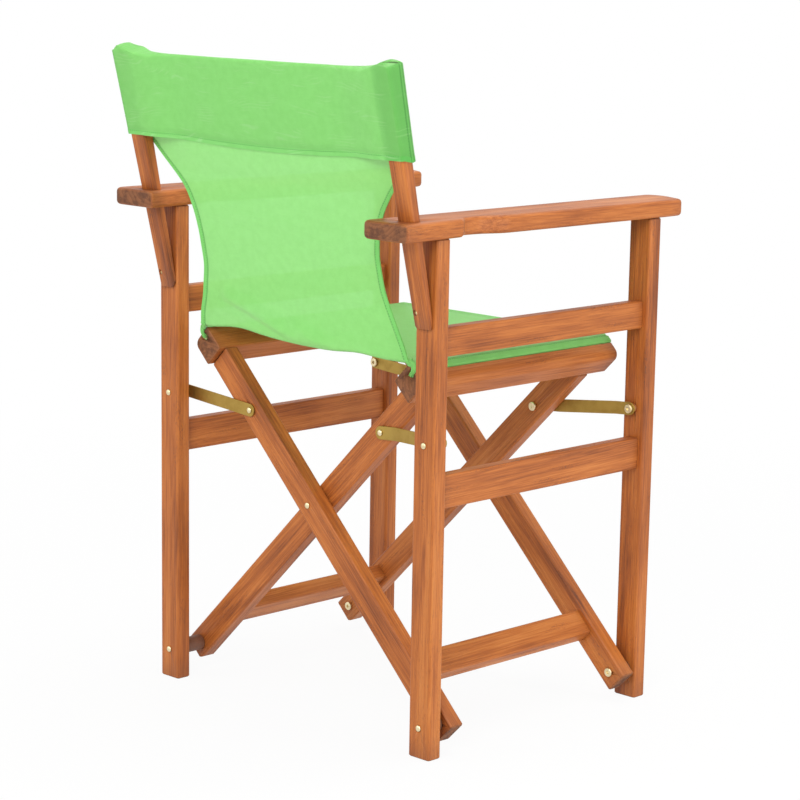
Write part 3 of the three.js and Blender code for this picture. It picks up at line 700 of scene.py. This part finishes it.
sewn_end = [(282.45, 13), (282.45, 10), (282.45, 6.8), (281.7, 5.9), (280, 5.6)]
round_rod = arc(ROD, 3.55, 10, 350, 12)
out_of_groove = [(280, 4.5), (281.8, 4.6), (282.9, 5.1), (283.3, 6.4), (283.3, 8), (283.3, 10)]
over_lap = [(283.3, 12.2), (283.25, 12.7), (283.05, 13.3), (282.75, 13.9), (282.5, 14.6)]
over_corner = arc((279, 15), 3.45, 6, math.degrees(math.pi / 2 - open_angle), 6)
LOOP = len(sewn_end)  # first columns of the loop, the lap, the rail's corner and the flat
LAP = LOOP + len(round_rod) + len(out_of_groove)
CORNER = LAP + len(over_lap)
FLAT = CORNER + len(over_corner) - 1


def rail_point(along, across):
    """A spot over the left seat rail, as (x from the middle, 0, height)."""
    x, z = along / 1000, across / 1000
    cos, sin = math.cos(open_angle), math.sin(open_angle)
    return Vector((x * cos - z * sin, 0, crossing.z + x * sin + z * cos))


def in_chair(x, y, z):
    """A spot from its distances from the chair's middle and its height."""
    return Vector((middle_x + x, middle_y + y, z))


def seat_profile():
    """Half of the seat's section, from its sewn end on the left rail to the middle."""
    half = [rail_point(*spot) for spot in sewn_end + round_rod + out_of_groove + over_lap + over_corner]
    edge = half[-1]
    for share in spread((1, 0), 0.075)[1:]:
        half.append(Vector((edge.x * share, 0, edge.z - SEAT_SAG * (1 - share**2))))
    return half


def seat_height(x):
    """Height of the middle of the seat's cloth, this far from the chair's middle."""
    if abs(x) > seat_edge.x:
        return min(seat_half[CORNER:FLAT + 1], key=lambda spot: abs(spot.x - abs(x))).z
    return seat_edge.z - SEAT_SAG * (1 - (x / seat_edge.x) ** 2)


def rear_lift(x):
    """The back draws the seat's rear edge up beside the rails."""
    return sum(height * math.exp(-(((x - centre) / wide) ** 2)) for height, centre, wide in REAR_LIFTS)


def seat_place(column, row):
    spot, y = seat_section[column].copy(), seat_rows[row]
    near = min(column, len(seat_section) - 1 - column)
    front, rear, rows_left = y - SEAT_FRONT, SEAT_REAR - y, len(seat_rows) - row
    if near > FLAT:
        sag = SEAT_SAG * (1 - (spot.x / seat_edge.x) ** 2)
        spot.z += sag * (1 - 0.85 * ease(front, 0, 0.09))
        spot.z += rear_lift(spot.x) * (1 - ease(rear, 0, 0.05)) ** 2
        spot.z += SEAT_RIPPLE * math.sin(spot.x * 60) * math.sin(y * 31 + 1) * ease(front, 0, 0.02)
    from_corner = abs(near - CORNER - 1)
    if from_corner < 5 and front < ROUND_FRONT:
        y += (ROUND_FRONT - math.sqrt(ROUND_FRONT**2 - (ROUND_FRONT - front) ** 2)) * (1 - from_corner / 5)
    if column > len(seat_half) and LOOP <= near < LOOP + len(round_rod) and rows_left <= len(LOOP_CLOSING):
        open_share, centre = LOOP_CLOSING[-rows_left], rail_point(*ROD)
        spot.x = -between(centre.x, -spot.x, open_share)
        spot.z = between(centre.z, spot.z, open_share)
        y += LOOP_PAST
    hem = 0.8 if front < SEAT_HEM else 0.0
    doubled = 0.9 if LAP - 3 <= near < CORNER else hem
    seam = LAP_EDGE_SHADOW.get(near - CORNER, 0.0)
    if near > CORNER + 3 and abs(front - SEAT_HEM - 0.0004) < 0.0006:
        seam = 0.3
    place = crossing + Vector((spot.x, y, spot.z - crossing.z))
    return place, Vector((seat_across[column], y, -1)), Vector((doubled, seam, 0))


seat_half = seat_profile()
seat_edge = seat_half[FLAT]
seat_section = seat_half + [Vector((-spot.x, 0, spot.z)) for spot in reversed(seat_half[:-1])]
seat_across = lengths_of(seat_section)
seat_rows = spread([SEAT_FRONT + step for step in (0, 0.0004, 0.0012, 0.0025)], 0.001)
seat_rows += spread(
    [SEAT_FRONT + step for step in (ROUND_FRONT, SEAT_HEM - 0.0003, SEAT_HEM + 0.0003, SEAT_HEM + 0.0009)]
    + [SEAT_REAR - step for step in (0.01, 0.002, 0.0008, 0)],
    0.009,
)
seat = woven(len(seat_section), len(seat_rows), seat_place)
thicken(seat)
seat_cloth = cloth_piece("seat_cloth", seat, green_mesh, ["seat_sling"])


def seat_stitches():
    """Stitches along both laps, and along the hem at the front."""
    threads = bmesh.new()
    spot = seat_section[LAP + 2]
    lift_x, lift_z = STITCH_LIFT * math.cos(open_angle), STITCH_LIFT * math.sin(open_angle)
    for side in SIDES.values():
        run = [in_chair(side * (spot.x + lift_x), y, spot.z + lift_z) for y in seat_rows[3:]]
        sew(threads, run, Vector((side * lift_x, 0, lift_z)))
    across = seat_section[FLAT + 1:-FLAT - 1]
    z = seat_edge.z + 0.0005
    sew(threads, [in_chair(spot.x, SEAT_FRONT + HEM_STITCH, z) for spot in across], up_z)
    return cloth_piece("seat_stitches", threads, green_thread)


seat_thread = seat_stitches()
for made in (seat_cloth, seat_thread):
    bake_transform(made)

TAB_SPOTS = [(286.5, 11), (284.6, 8.4), (282.4, 6.2), (279.2, 5.2), (275.5, 5), (272.8, 5)]
TAB_WIDTHS = (1.3, 1.15, 0.95, 0.8, 0.66, 0.56, 0.5, 0.22)  # shares of its width, from its top down
TAB_COLUMNS = 7


def corner_tab(side, body, wide):
    """The back's lower corner, drawn down over the rail's end into its groove."""
    path = [Vector((0.1905, 0.1885, seat_edge.z + 0.005)), Vector((0.192, 0.1865, seat_edge.z + 0.001))]
    path += [rail_point(*spot) + along_y * (SEAT_REAR + 0.0016) for spot in TAB_SPOTS]

    def place(column, row):
        ahead = path[min(row + 1, len(path) - 1)] - path[max(row - 1, 0)]
        over = Vector((ahead.z, 0, -ahead.x)).normalized()
        share = 2 * column / (TAB_COLUMNS - 1) - 1
        crown = 0.0016 * (1 - share * share) + 0.0005 * math.cos(share * 9)
        spot = path[row] + over * share * wide * TAB_WIDTHS[row] / 2 + along_y * crown
        # Painted shade of 0.2 over the whole tab, with its side edges darkened as seams.
        made = Vector((0.5, 0.5 if abs(share) > 0.9 else 0, 0.2))
        weave = Vector((share * 0.01 + 2, row * 0.004, -1))
        return in_chair(SIDES[side] * spot.x, spot.y, spot.z), weave, made

    tab = woven(TAB_COLUMNS, len(path), place)
    thicken(tab)
    made = cloth_piece(f"{side}_corner_tab", tab, green_mesh)
    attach(made, body)
    return made


corner_tabs = [
    corner_tab("left", "outer_crossed_frame", 0.0075),
    corner_tab("right", "inner_crossed_frame", 0.0105),
]


# Back frame: x from the middle, n rearward across the posts, s up them from their feet

POST_LONG = 0.3195
POST_X = 0.236  # the left post's middle
POST_INSIDE = POST_X - 0.013  # the side of it that faces the right post
POST_REAR = 0.0075  # its rear face
POST_FOOT_THICK, POST_GROWS = 0.00795, 0.015
FOOT_BEHIND_LEG = 0.0044
HEM = 0.2102  # the sleeve's lower edge
END = 0.2498  # outside of the sleeve, from the middle
foot_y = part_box("left_rear_leg")[1].y + FOOT_BEHIND_LEG - POST_REAR / math.cos(LEAN)
post_foot = Vector((middle_x, foot_y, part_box("left_back_post")[0].z))
out_of_back = Vector((0, math.cos(LEAN), -math.sin(LEAN)))


def on_back(x, n, s):
    return post_foot + across_x * x + out_of_back * n + up_post * s


def post_front(s):
    """The posts' front faces, which come forward as the posts rise and grow thicker."""
    return POST_REAR - POST_FOOT_THICK - POST_GROWS * s / POST_LONG


# Sleeve: a tube of two layers that is sewn at both ends and closed over the tops of the posts

TOP = [  # its top edge, as (x, s)
    (0.0, 0.3156), (0.1, 0.3157), (0.18, 0.3159), (0.2, 0.3166), (0.213, 0.3186), (0.2215, 0.3209),
    (0.231, 0.3240), (0.2385, 0.3268), (0.2435, 0.3256), (0.247, 0.3230), (0.2498, 0.3212), (0.27, 0.316),
]
PEAK = 0.2385
REAR_CORNER, FRONT_CORNER = 0.003, 0.002  # radii at the ends
TURN = END - REAR_CORNER  # where the end starts to turn
END_SEAM = FRONT_CORNER + 0.0034  # behind the front layer
END_PROUD, END_LOW = 0.0011, 0.0055  # how far its welt stands out, and its foot hangs down
LEFT_SLACK = 0.002  # the left end stands this much further out than the right one
SPLIT = 0.219  # cuts beside the posts, between the pockets and the middle
CLOSING = 7  # rows that close the top
FLAT_STOPS = (0, 0.17, 0.2, SPLIT, 0.2235, POST_X, PEAK, 0.241, 0.2435, TURN - 0.0005, TURN)  # columns
SHOULDER_STOPS = (0, 0.0006, 0.0049, HEM_STITCH, 0.0061, 0.007)  # the hem and its seam
ON_POST = SHEET, 0.0022  # from a post's rear face to the rear layer, and from its front to the front one
APART = 0.0013, 0.0030  # from the middle to each layer between the posts, at the hem and above it
RIPPLE, PULL = 0.0007, 0.0011  # heights of the waves between the posts and of the folds beside them
# How far down the top edge is rounded, between the posts and by layer over them
ROUNDED, ROUNDED_ON_POST = 0.0036, {1: 0.0025, -1: 0.0062, 0: 0.0062}
SLIT = 0.0036  # half the gap that stays open at each end of the top


def hem_sag(x):
    """The panel draws the hem down between the posts."""
    return 0.0088 * (1 - min(1.0, (x / POST_INSIDE) ** 2)) ** 1.2


def meet(s):
    """Where the two layers lie together between the posts."""
    return between(-0.0035, -0.0045, ease(s, HEM, POST_LONG))


def inboard(x):
    """0 over the posts, 1 where the sleeve is clear of them."""
    return ease(POST_INSIDE - 0.001 - abs(x), 0, 0.075)


def layer(x, s, way):
    """Middle of one layer: way is 1 behind the posts and -1 before them."""
    on_post = POST_REAR + ON_POST[0] if way > 0 else post_front(s) - ON_POST[1]
    above_hem = s - HEM
    apart = between(*APART, ease(above_hem, 0, 0.05))
    ripple = RIPPLE * math.sin(x * 41 + s * 19 + way) * ease(above_hem, 0, 0.03)
    from_pull = (abs(x) - 0.205) * 0.8 - above_hem * 0.62 + 0.012
    pull = PULL * math.exp(-((from_pull / 0.0045) ** 2))
    pull *= ease(0.235 - abs(x), 0.012, 0.03) * ease(above_hem, 0, 0.02)
    return between(on_post, meet(s) + way * apart + ripple, inboard(x)) + way * pull


def turn_over(x, way):
    """How far below the top edge the cloth starts to turn over, which is never below a post's top."""
    room = curved(TOP, abs(x)) - POST_LONG - 0.0004
    return between(ROUNDED, min(room, ROUNDED_ON_POST[way]), ease(abs(x), 0.2, 0.222))


def sleeve_ring():
    """The sleeve's section all round, as (x, layer, move from it); layer 0 is the seam at an end."""
    flat = spread(FLAT_STOPS, 0.0068)
    turn = [math.radians(22.5 * i) for i in range(1, 5)]
    rear = [(x, 1, 0.0) for x in flat]
    rear += [(END - REAR_CORNER * (1 - math.sin(a)), 1, -REAR_CORNER * (1 - math.cos(a))) for a in turn]
    seam = [
        (END, 0, 0.0032), (END + 0.0001, 0, 0.0017), (END + 0.0009, 0, 0.0008), (END + END_PROUD, 0, 0.0),
        (END + 0.0009, 0, -0.0008), (END + 0.0001, 0, -0.0017),
    ]
    front = [
        (END - FRONT_CORNER * (1 - math.sin(a)), -1, FRONT_CORNER * (1 - math.cos(a))) for a in reversed(turn)
    ]
    half = rear + seam + front + [(x, -1, 0.0) for x in reversed(flat)]
    return half + [(-x, base, move) for x, base, move in reversed(half[1:-1])] + [half[0]]


def ring_spot(item, s):
    """A spot of the ring at one height, as (x, n)."""
    x, base, move = item
    flat = min(abs(x), TURN)
    rear, front = layer(flat, s, 1), layer(flat, s, -1)
    slack = LEFT_SLACK * ease(x, 0.238, 0.25)
    return x + slack, {1: rear, -1: front, 0: front + END_SEAM}[base] + move


def closing_line(x, s):
    """Where the layers meet along the top: over the middle of the posts, and forward to the seams."""
    flat = min(abs(x), TURN)
    rear, front = layer(flat, s, 1), layer(flat, s, -1)
    peak = between((rear + front) / 2, rear - 0.003, ease(abs(x), 0.2, POST_X))
    return between(peak, front + END_SEAM, ease(abs(x), 0.24, END))


def sleeve_point(column, row):
    """A point of the sleeve as (x, n, s)."""
    item = ring[column]
    full = shoulder_rows[-1]
    if row < len(shoulder_rows):
        rise = shoulder_rows[row]
        x, n = ring_spot(item, HEM + rise)
        last = curved(TOP, abs(x)) - turn_over(x, item[1]) - HEM
        rise += (last - full) * ease(rise, 0.02, full)
        tail = END_LOW * ease(0.012 - n, 0.004, 0.02) * ease(abs(x), 0.235, 0.2505)
        low = 1 - ease(rise, 0, 0.05)
        return x, n, HEM + rise - (hem_sag(x) + tail) * low
    turn = math.radians(90 * (row - len(shoulder_rows) + 1) / CLOSING)
    x, n = ring_spot(item, HEM + full)
    x -= math.copysign(0.6 * max(0.0, abs(x) - TURN) * (1 - math.cos(turn)), x)
    close = closing_line(x, HEM + full)
    n = close + (n - close) * math.cos(turn) ** 0.6
    if row == len(shoulder_rows) + CLOSING - 1:
        slit = ease(abs(x), PEAK, 0.243) * (1 - ease(abs(x), 0.2485, 0.2492))
        seam_way = math.copysign(1, item[2]) if abs(item[2]) > 1e-6 else 0
        n = close + SLIT * slit * (item[1] or seam_way)
    return x, n, curved(TOP, abs(x)) - turn_over(x, item[1]) * (1 - math.sin(turn))


def sleeve_place(column, row):
    x, n, s = sleeve_point(column, row)
    base, move = ring[column][1:]
    rise = shoulder_rows[min(row, len(shoulder_rows) - 1)]
    doubled = 1.0 if rise < SHOULDER_STOPS[-1] - 0.0004 else 0.0
    # The dark lines at the hem's seam and beside the end seam's welt are partly the join, partly painted shadow.
    hem_seam = 0.2 if abs(rise - SHOULDER_STOPS[-1]) < 0.0005 else 0.0
    end_seam = 0.9 if base == 0 and 0.0012 < abs(move) < 0.0022 else 0.0
    around = math.copysign(0.009 - abs(move), x) if base == 0 else 0.0
    side = {1: 0.0, 0: 0.02, -1: 0.04}[base]
    # Painted shade: darker over the posts, the right one far more than the left, and darker again round the ends.
    over_post = ease(abs(x), POST_INSIDE - 0.004, POST_INSIDE + 0.003)
    shade = (0.42 if x < 0 else 0.12) * over_post + 0.3 * ease(abs(x), TURN, END - 0.001)
    made = Vector((doubled, max(hem_seam, end_seam), shade))
    return on_back(x, n, s), Vector((x + around, s, side)), made


def sleeve_part(name, low, high):
    """Cuts one length of the sleeve out of the whole."""
    part = sleeve.copy()
    for edge, way in ((low, -1), (high, 1)):
        if edge is not None:
            cut = bmesh.ops.bisect_plane(
                part, geom=part.verts[:] + part.edges[:] + part.faces[:], dist=1e-6,
                plane_co=on_back(edge, 0, HEM), plane_no=(way, 0, 0), clear_outer=True,
            )
            rim = [item for item in cut["geom_cut"] if isinstance(item, bmesh.types.BMEdge)]
            bmesh.ops.holes_fill(part, edges=rim, sides=0)
    return cloth_piece(name, part, green_mesh)


def sleeve_threads(name, low, high, end=None):
    """Stitches along the hem of both layers, and up the seam at one end."""
    part = bmesh.new()
    s = HEM + HEM_STITCH
    for way in (1, -1):
        columns = spread((low, high), 0.006)
        run = [on_back(x, layer(x, s, way) + way * 0.0008, s - hem_sag(x) * 0.97) for x in columns]
        sew(part, run, out_of_back * way)
    if end:
        x = SIDES[end] * (END + 0.0004 + (LEFT_SLACK if end == "left" else 0))
        heights = spread((HEM + 0.001, 0.312), 0.006)
        run = [on_back(x, layer(TURN, s, -1) + END_SEAM + 0.0028, s) for s in heights]
        sew(part, run, across_x * SIDES[end])
    return cloth_piece(name, part, green_thread)


ring = sleeve_ring()
shoulder_rows = spread(SHOULDER_STOPS, 0.005) + spread((SHOULDER_STOPS[-1], 0.1), 0.0075)[1:]
sleeve = woven(len(ring), len(shoulder_rows) + CLOSING, sleeve_place)
bmesh.ops.remove_doubles(sleeve, verts=sleeve.verts, dist=2e-5)
thicken(sleeve)
sleeve_left = [
    sleeve_part("left_sleeve_pocket", SPLIT, None),
    sleeve_threads("left_pocket_stitches", SPLIT, 0.246, "left"),
]
sleeve_right = [
    sleeve_part("right_sleeve_pocket", None, -SPLIT),
    sleeve_threads("right_pocket_stitches", -0.246, -SPLIT, "right"),
]
sleeve_middle = [
    sleeve_part("sleeve_middle", -SPLIT, SPLIT),
    sleeve_threads("sleeve_stitches", -SPLIT, SPLIT),
]
sleeve.free()
for made in sleeve_left + sleeve_middle:
    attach(made, "left_side_frame")
for made in sleeve_right:
    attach(made, "right_side_frame")
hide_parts("back_sleeve")
for made in sleeve_middle:
    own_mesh(made)


# Back panel: turns up out of the seat's rear edge and is sewn into the sleeve's hem

PANEL_LOW, PANEL_HIGH = 0.193, 0.240  # half its width at the seat and at the sleeve
LEFT_CURVE = [  # how far an edge curves in, as (share of the panel's rise, inset)
    (0, 0), (0.084, 0.0092), (0.178, 0.0236), (0.249, 0.0327), (0.34, 0.0437), (0.447, 0.0498),
    (0.521, 0.053), (0.625, 0.0542), (0.728, 0.05), (0.812, 0.037), (0.877, 0.0237), (0.935, 0.0119), (1, 0),
]
RIGHT_CURVE = [
    (0, 0), (0.084, 0.009), (0.249, 0.0303), (0.34, 0.0405), (0.417, 0.0455), (0.495, 0.0492),
    (0.574, 0.0492), (0.65, 0.0465), (0.73, 0.0392), (0.81, 0.0267), (0.877, 0.0142), (0.935, 0.006), (1, 0),
]
FOLDS = [  # start, end, height and half width of each fold; places are (x, share of the rise)
    ((0.128, 0.19), (-0.02, 0.012), 0.0085, 0.0095), ((0.01, 0.11), (-0.06, 0.01), 0.007, 0.008),
    ((0.14, 0.605), (-0.05, 0.6), 0.0009, 0.007), ((-0.1, 0.29), (-0.15, 0.2), 0.001, 0.008),
    ((0.15, 0.1), (0.06, 0.02), 0.0014, 0.009), ((-0.12, 0.08), (-0.03, 0.02), 0.0012, 0.008),
]
BEND, BEND_STEPS = 0.007, 7  # radius of the turn out of the seat
CONTACT = 0.03  # it meets the plane of the posts' fronts this far below the hem
PANEL_FRONT = 0.0009  # before the posts' fronts
PANEL_STEPS = 72
INSETS = [0, 0.0006, 0.0064, 0.0070, 0.0078, 0.0086, 0.0094]  # columns of a side hem and its seam


def panel_at(s):
    """Where the panel is at one height up the posts, as (y from the chair's middle, height)."""
    spot = on_back(0, post_front(s) - PANEL_FRONT, s)
    return Vector((spot.y - middle_y, spot.z))


def panel_line():
    """The panel seen from the side, as (y, height) points from the seat's rear edge up."""
    start = Vector((SEAT_REAR + 0.0001, seat_edge.z))
    contact, hem, top = panel_at(HEM - CONTACT), panel_at(HEM), panel_at(HEM + 0.008)
    centre = start + Vector((0, BEND))
    rise = contact - centre
    climb = math.atan2(rise.y, rise.x) + math.asin(BEND / rise.length)
    turn = [climb * i / BEND_STEPS - math.pi / 2 for i in range(BEND_STEPS + 1)]
    stops = [centre + Vector((math.cos(a), math.sin(a))) * BEND for a in turn]
    stops += [contact, hem - (hem - contact) * 0.12, hem, top]
    line = [stops[0]]
    for a, b in zip(stops, stops[1:]):
        steps = max(1, math.ceil((b - a).length / 0.005))
        line += [a.lerp(b, i / steps) for i in range(1, steps + 1)]
    return line


def panel_half(share, curve):
    """From the chair's middle to one edge of the panel, which curves in between seat and sleeve."""
    return between(PANEL_LOW, PANEL_HIGH, share) - curved(curve, share)


def fold_lift(x, share):
    """How far the slack stands out of the panel's plane at a place on it."""
    lift = 0.0
    for (x1, h1), (x2, h2), height, wide in FOLDS:
        a, b = Vector((x1, h1 * panel_tall)), Vector((x2, h2 * panel_tall))
        spot = Vector((x, share * panel_tall))
        along = max(0.0, min(1.0, (spot - a).dot(b - a) / (b - a).length_squared))
        away = (spot - a.lerp(b, along)).length
        swell = 0.35 + 0.65 * math.sin(math.pi * (0.1 + 0.8 * along))
        lift += height * math.exp(-((away / wide) ** 2)) * swell
    return lift


def panel_place(column, row):
    y, z = panel_side[row]
    share = (z - panel_foot) / (panel_tall + 0.001)
    inner = min(share, 1.0)
    left, right = panel_half(inner, LEFT_CURVE), -panel_half(inner, RIGHT_CURVE)
    kind, step = panel_columns[column]
    x = {
        "right hem": right + step,
        "middle": between(right + INSETS[-1], left - INSETS[-1], step),
        "left hem": left - step,
    }[kind]
    inset = min(left - x, x - right)
    z += (seat_height(x) - seat_edge.z) * (1 - ease(share, 0, 0.12))
    z += rear_lift(x) * (1 - ease(share, 0, 0.2))
    above_hem = (share - 1) * panel_tall
    calm = ease(share, 0.0, 0.05) * (1 - ease(share, 0.8, 0.88))
    calm *= ease(inset, 0.004, 0.03)
    bow = 0.0025 * math.sin(math.pi * inner) * (1 - (x / (left if x > 0 else right)) ** 2)
    to_layers = (meet(HEM) - post_front(HEM) + PANEL_FRONT) * inboard(x)
    to_layers *= ease(above_hem, -0.06, 0.0)
    move = out_of_back * ((fold_lift(x, share) - bow) * calm + to_layers)
    doubled = 1.5 if inset < 0.0071 else 0.0
    # Painted shadow: a dark line beside each side hem's inner edge, and along the foot where the panel turns out
    # of the seat.
    hem_edge_shadow = 0.95 if 0.0074 < inset < 0.0082 else 0.0
    foot_shadow = 0.5 * (1 - ease(share, 0.0, 0.008))
    # Painted shade: the panel darkens towards its side edges.
    shade = 0.06 * ease(0.03 - inset, 0, 0.03)
    weave = Vector((x + 0.5, panel_run[row] + 0.7, -1))
    return in_chair(x, y, z) + move, weave, Vector((doubled, max(hem_edge_shadow, foot_shadow), shade))


def panel_stitches():
    """Stitches up both side hems, on both faces."""
    threads = bmesh.new()
    for column in (2, len(panel_columns) - 3):
        for way in (1, -1):
            rows = range(6, len(panel_side) - 1)
            run = [panel_place(column, row)[0] + out_of_back * way * STITCH_LIFT for row in rows]
            sew(threads, run, out_of_back * way)
    return cloth_piece("panel_stitches", threads, green_thread)


panel_side = panel_line()
panel_run = lengths_of(panel_side)
panel_foot = panel_side[0].y
panel_tall = panel_at(HEM).y - panel_foot
panel_columns = [("right hem", step) for step in INSETS]
panel_columns += [("middle", i / PANEL_STEPS) for i in range(1, PANEL_STEPS)]
panel_columns += [("left hem", step) for step in reversed(INSETS)]
panel = woven(len(panel_columns), len(panel_side), panel_place)
thicken(panel)
panel_cloth = cloth_piece("panel_cloth", panel, green_mesh, ["back_panel"])
panel_thread = panel_stitches()
for made in (panel_cloth, panel_thread):
    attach(made, "left_side_frame")
    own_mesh(made)


# The back panel's size, and its cloth's area, when it lies flat

panel_flat = (2 * PANEL_HIGH, panel_run[-1])
panel_area = panel_flat[0] * panel_flat[1] * 0.8


# Room, light and camera

WORLD_LEVEL = 0.56  # how strongly the white room lights the chair
CAMERA_SPOT = (-2.301044, 2.300162, 0.98350)
CAMERA_TURN, CAMERA_TIP, CAMERA_ROLL = 0.76677, -0.20318, 0.01966  # from -Y towards +X, down, and over
CAMERA_LENS, CAMERA_SHIFT = 112.213, (-0.0462, 0.0742)


def open_floor():
    """A pale floor that fades into the background and keeps the chair's soft shadow."""
    shape = bmesh.new()
    bmesh.ops.create_grid(shape, x_segments=1, y_segments=1, size=90)
    pale = Finish("pale_floor")
    matt = pale.surface(Base_Color=(0.86, 0.86, 0.86), Roughness=0.9)
    glow = pale.node("Emission", {}, {"Color": (1, 1, 1), "Strength": 1.0})
    fade = pale.step(pale.length(pale.place()), 0.6, 2.2)
    mixed = pale.node("MixShader", {}, {0: pale.seen() * (0.93 + 0.07 * fade), 1: matt, 2: glow})
    piece("floor", shape, pale.finished(mixed))


def white_room():
    """A white world, at full strength only where it is seen."""
    room = Finish("white_room", world=True)
    strength = WORLD_LEVEL + room.seen() * (1 - WORLD_LEVEL)
    scene.world = room.finished(room.node("Background", {}, {"Color": (1, 1, 1), "Strength": strength}))


def lamp(name, spot, aim, wide, power):
    """A round lamp, turned to the spot that it aims at."""
    light = bpy.data.lights.new(name, "AREA")
    light.shape, light.size, light.energy = "DISK", wide, power
    made = bpy.data.objects.new(name, light)
    made.location = spot
    made.rotation_mode = "QUATERNION"
    made.rotation_quaternion = (Vector(aim) - Vector(spot)).to_track_quat("-Z", "Y")
    scene.collection.objects.link(made)


def set_camera():
    """The camera stands behind the chair to its right and looks a little down on it."""
    level_ahead = Vector((math.sin(CAMERA_TURN), -math.cos(CAMERA_TURN), 0))
    ahead = level_ahead * math.cos(CAMERA_TIP) + up_z * math.sin(CAMERA_TIP)
    level = ahead.cross(up_z).normalized()
    above = level.cross(ahead)
    right = level * math.cos(CAMERA_ROLL) + above * math.sin(CAMERA_ROLL)
    top = above * math.cos(CAMERA_ROLL) - level * math.sin(CAMERA_ROLL)
    lens = bpy.data.cameras.new("camera")
    lens.lens, lens.sensor_width = CAMERA_LENS, 36
    lens.shift_x, lens.shift_y = CAMERA_SHIFT
    made = bpy.data.objects.new("camera", lens)
    turn = Matrix((right, top, -ahead)).transposed().to_4x4()
    made.matrix_world = Matrix.Translation(CAMERA_SPOT) @ turn
    scene.collection.objects.link(made)
    scene.camera = made


open_floor()
white_room()
lamp("key", (-1.9, 3.3, 2.7), (0, 0, 0.5), 2.2, 82)
lamp("fill", (-3.3, -0.6, 0.75), (0, 0, 0.35), 2.0, 36)
lamp("far_fill", (1.8, 2.8, 1.6), (0, 0, 0.45), 2.2, 16)
lamp("top", (-0.3, -0.6, 3.6), (0, 0, 0.4), 2.0, 46)
set_camera()
scene.view_settings.view_transform = "Standard"
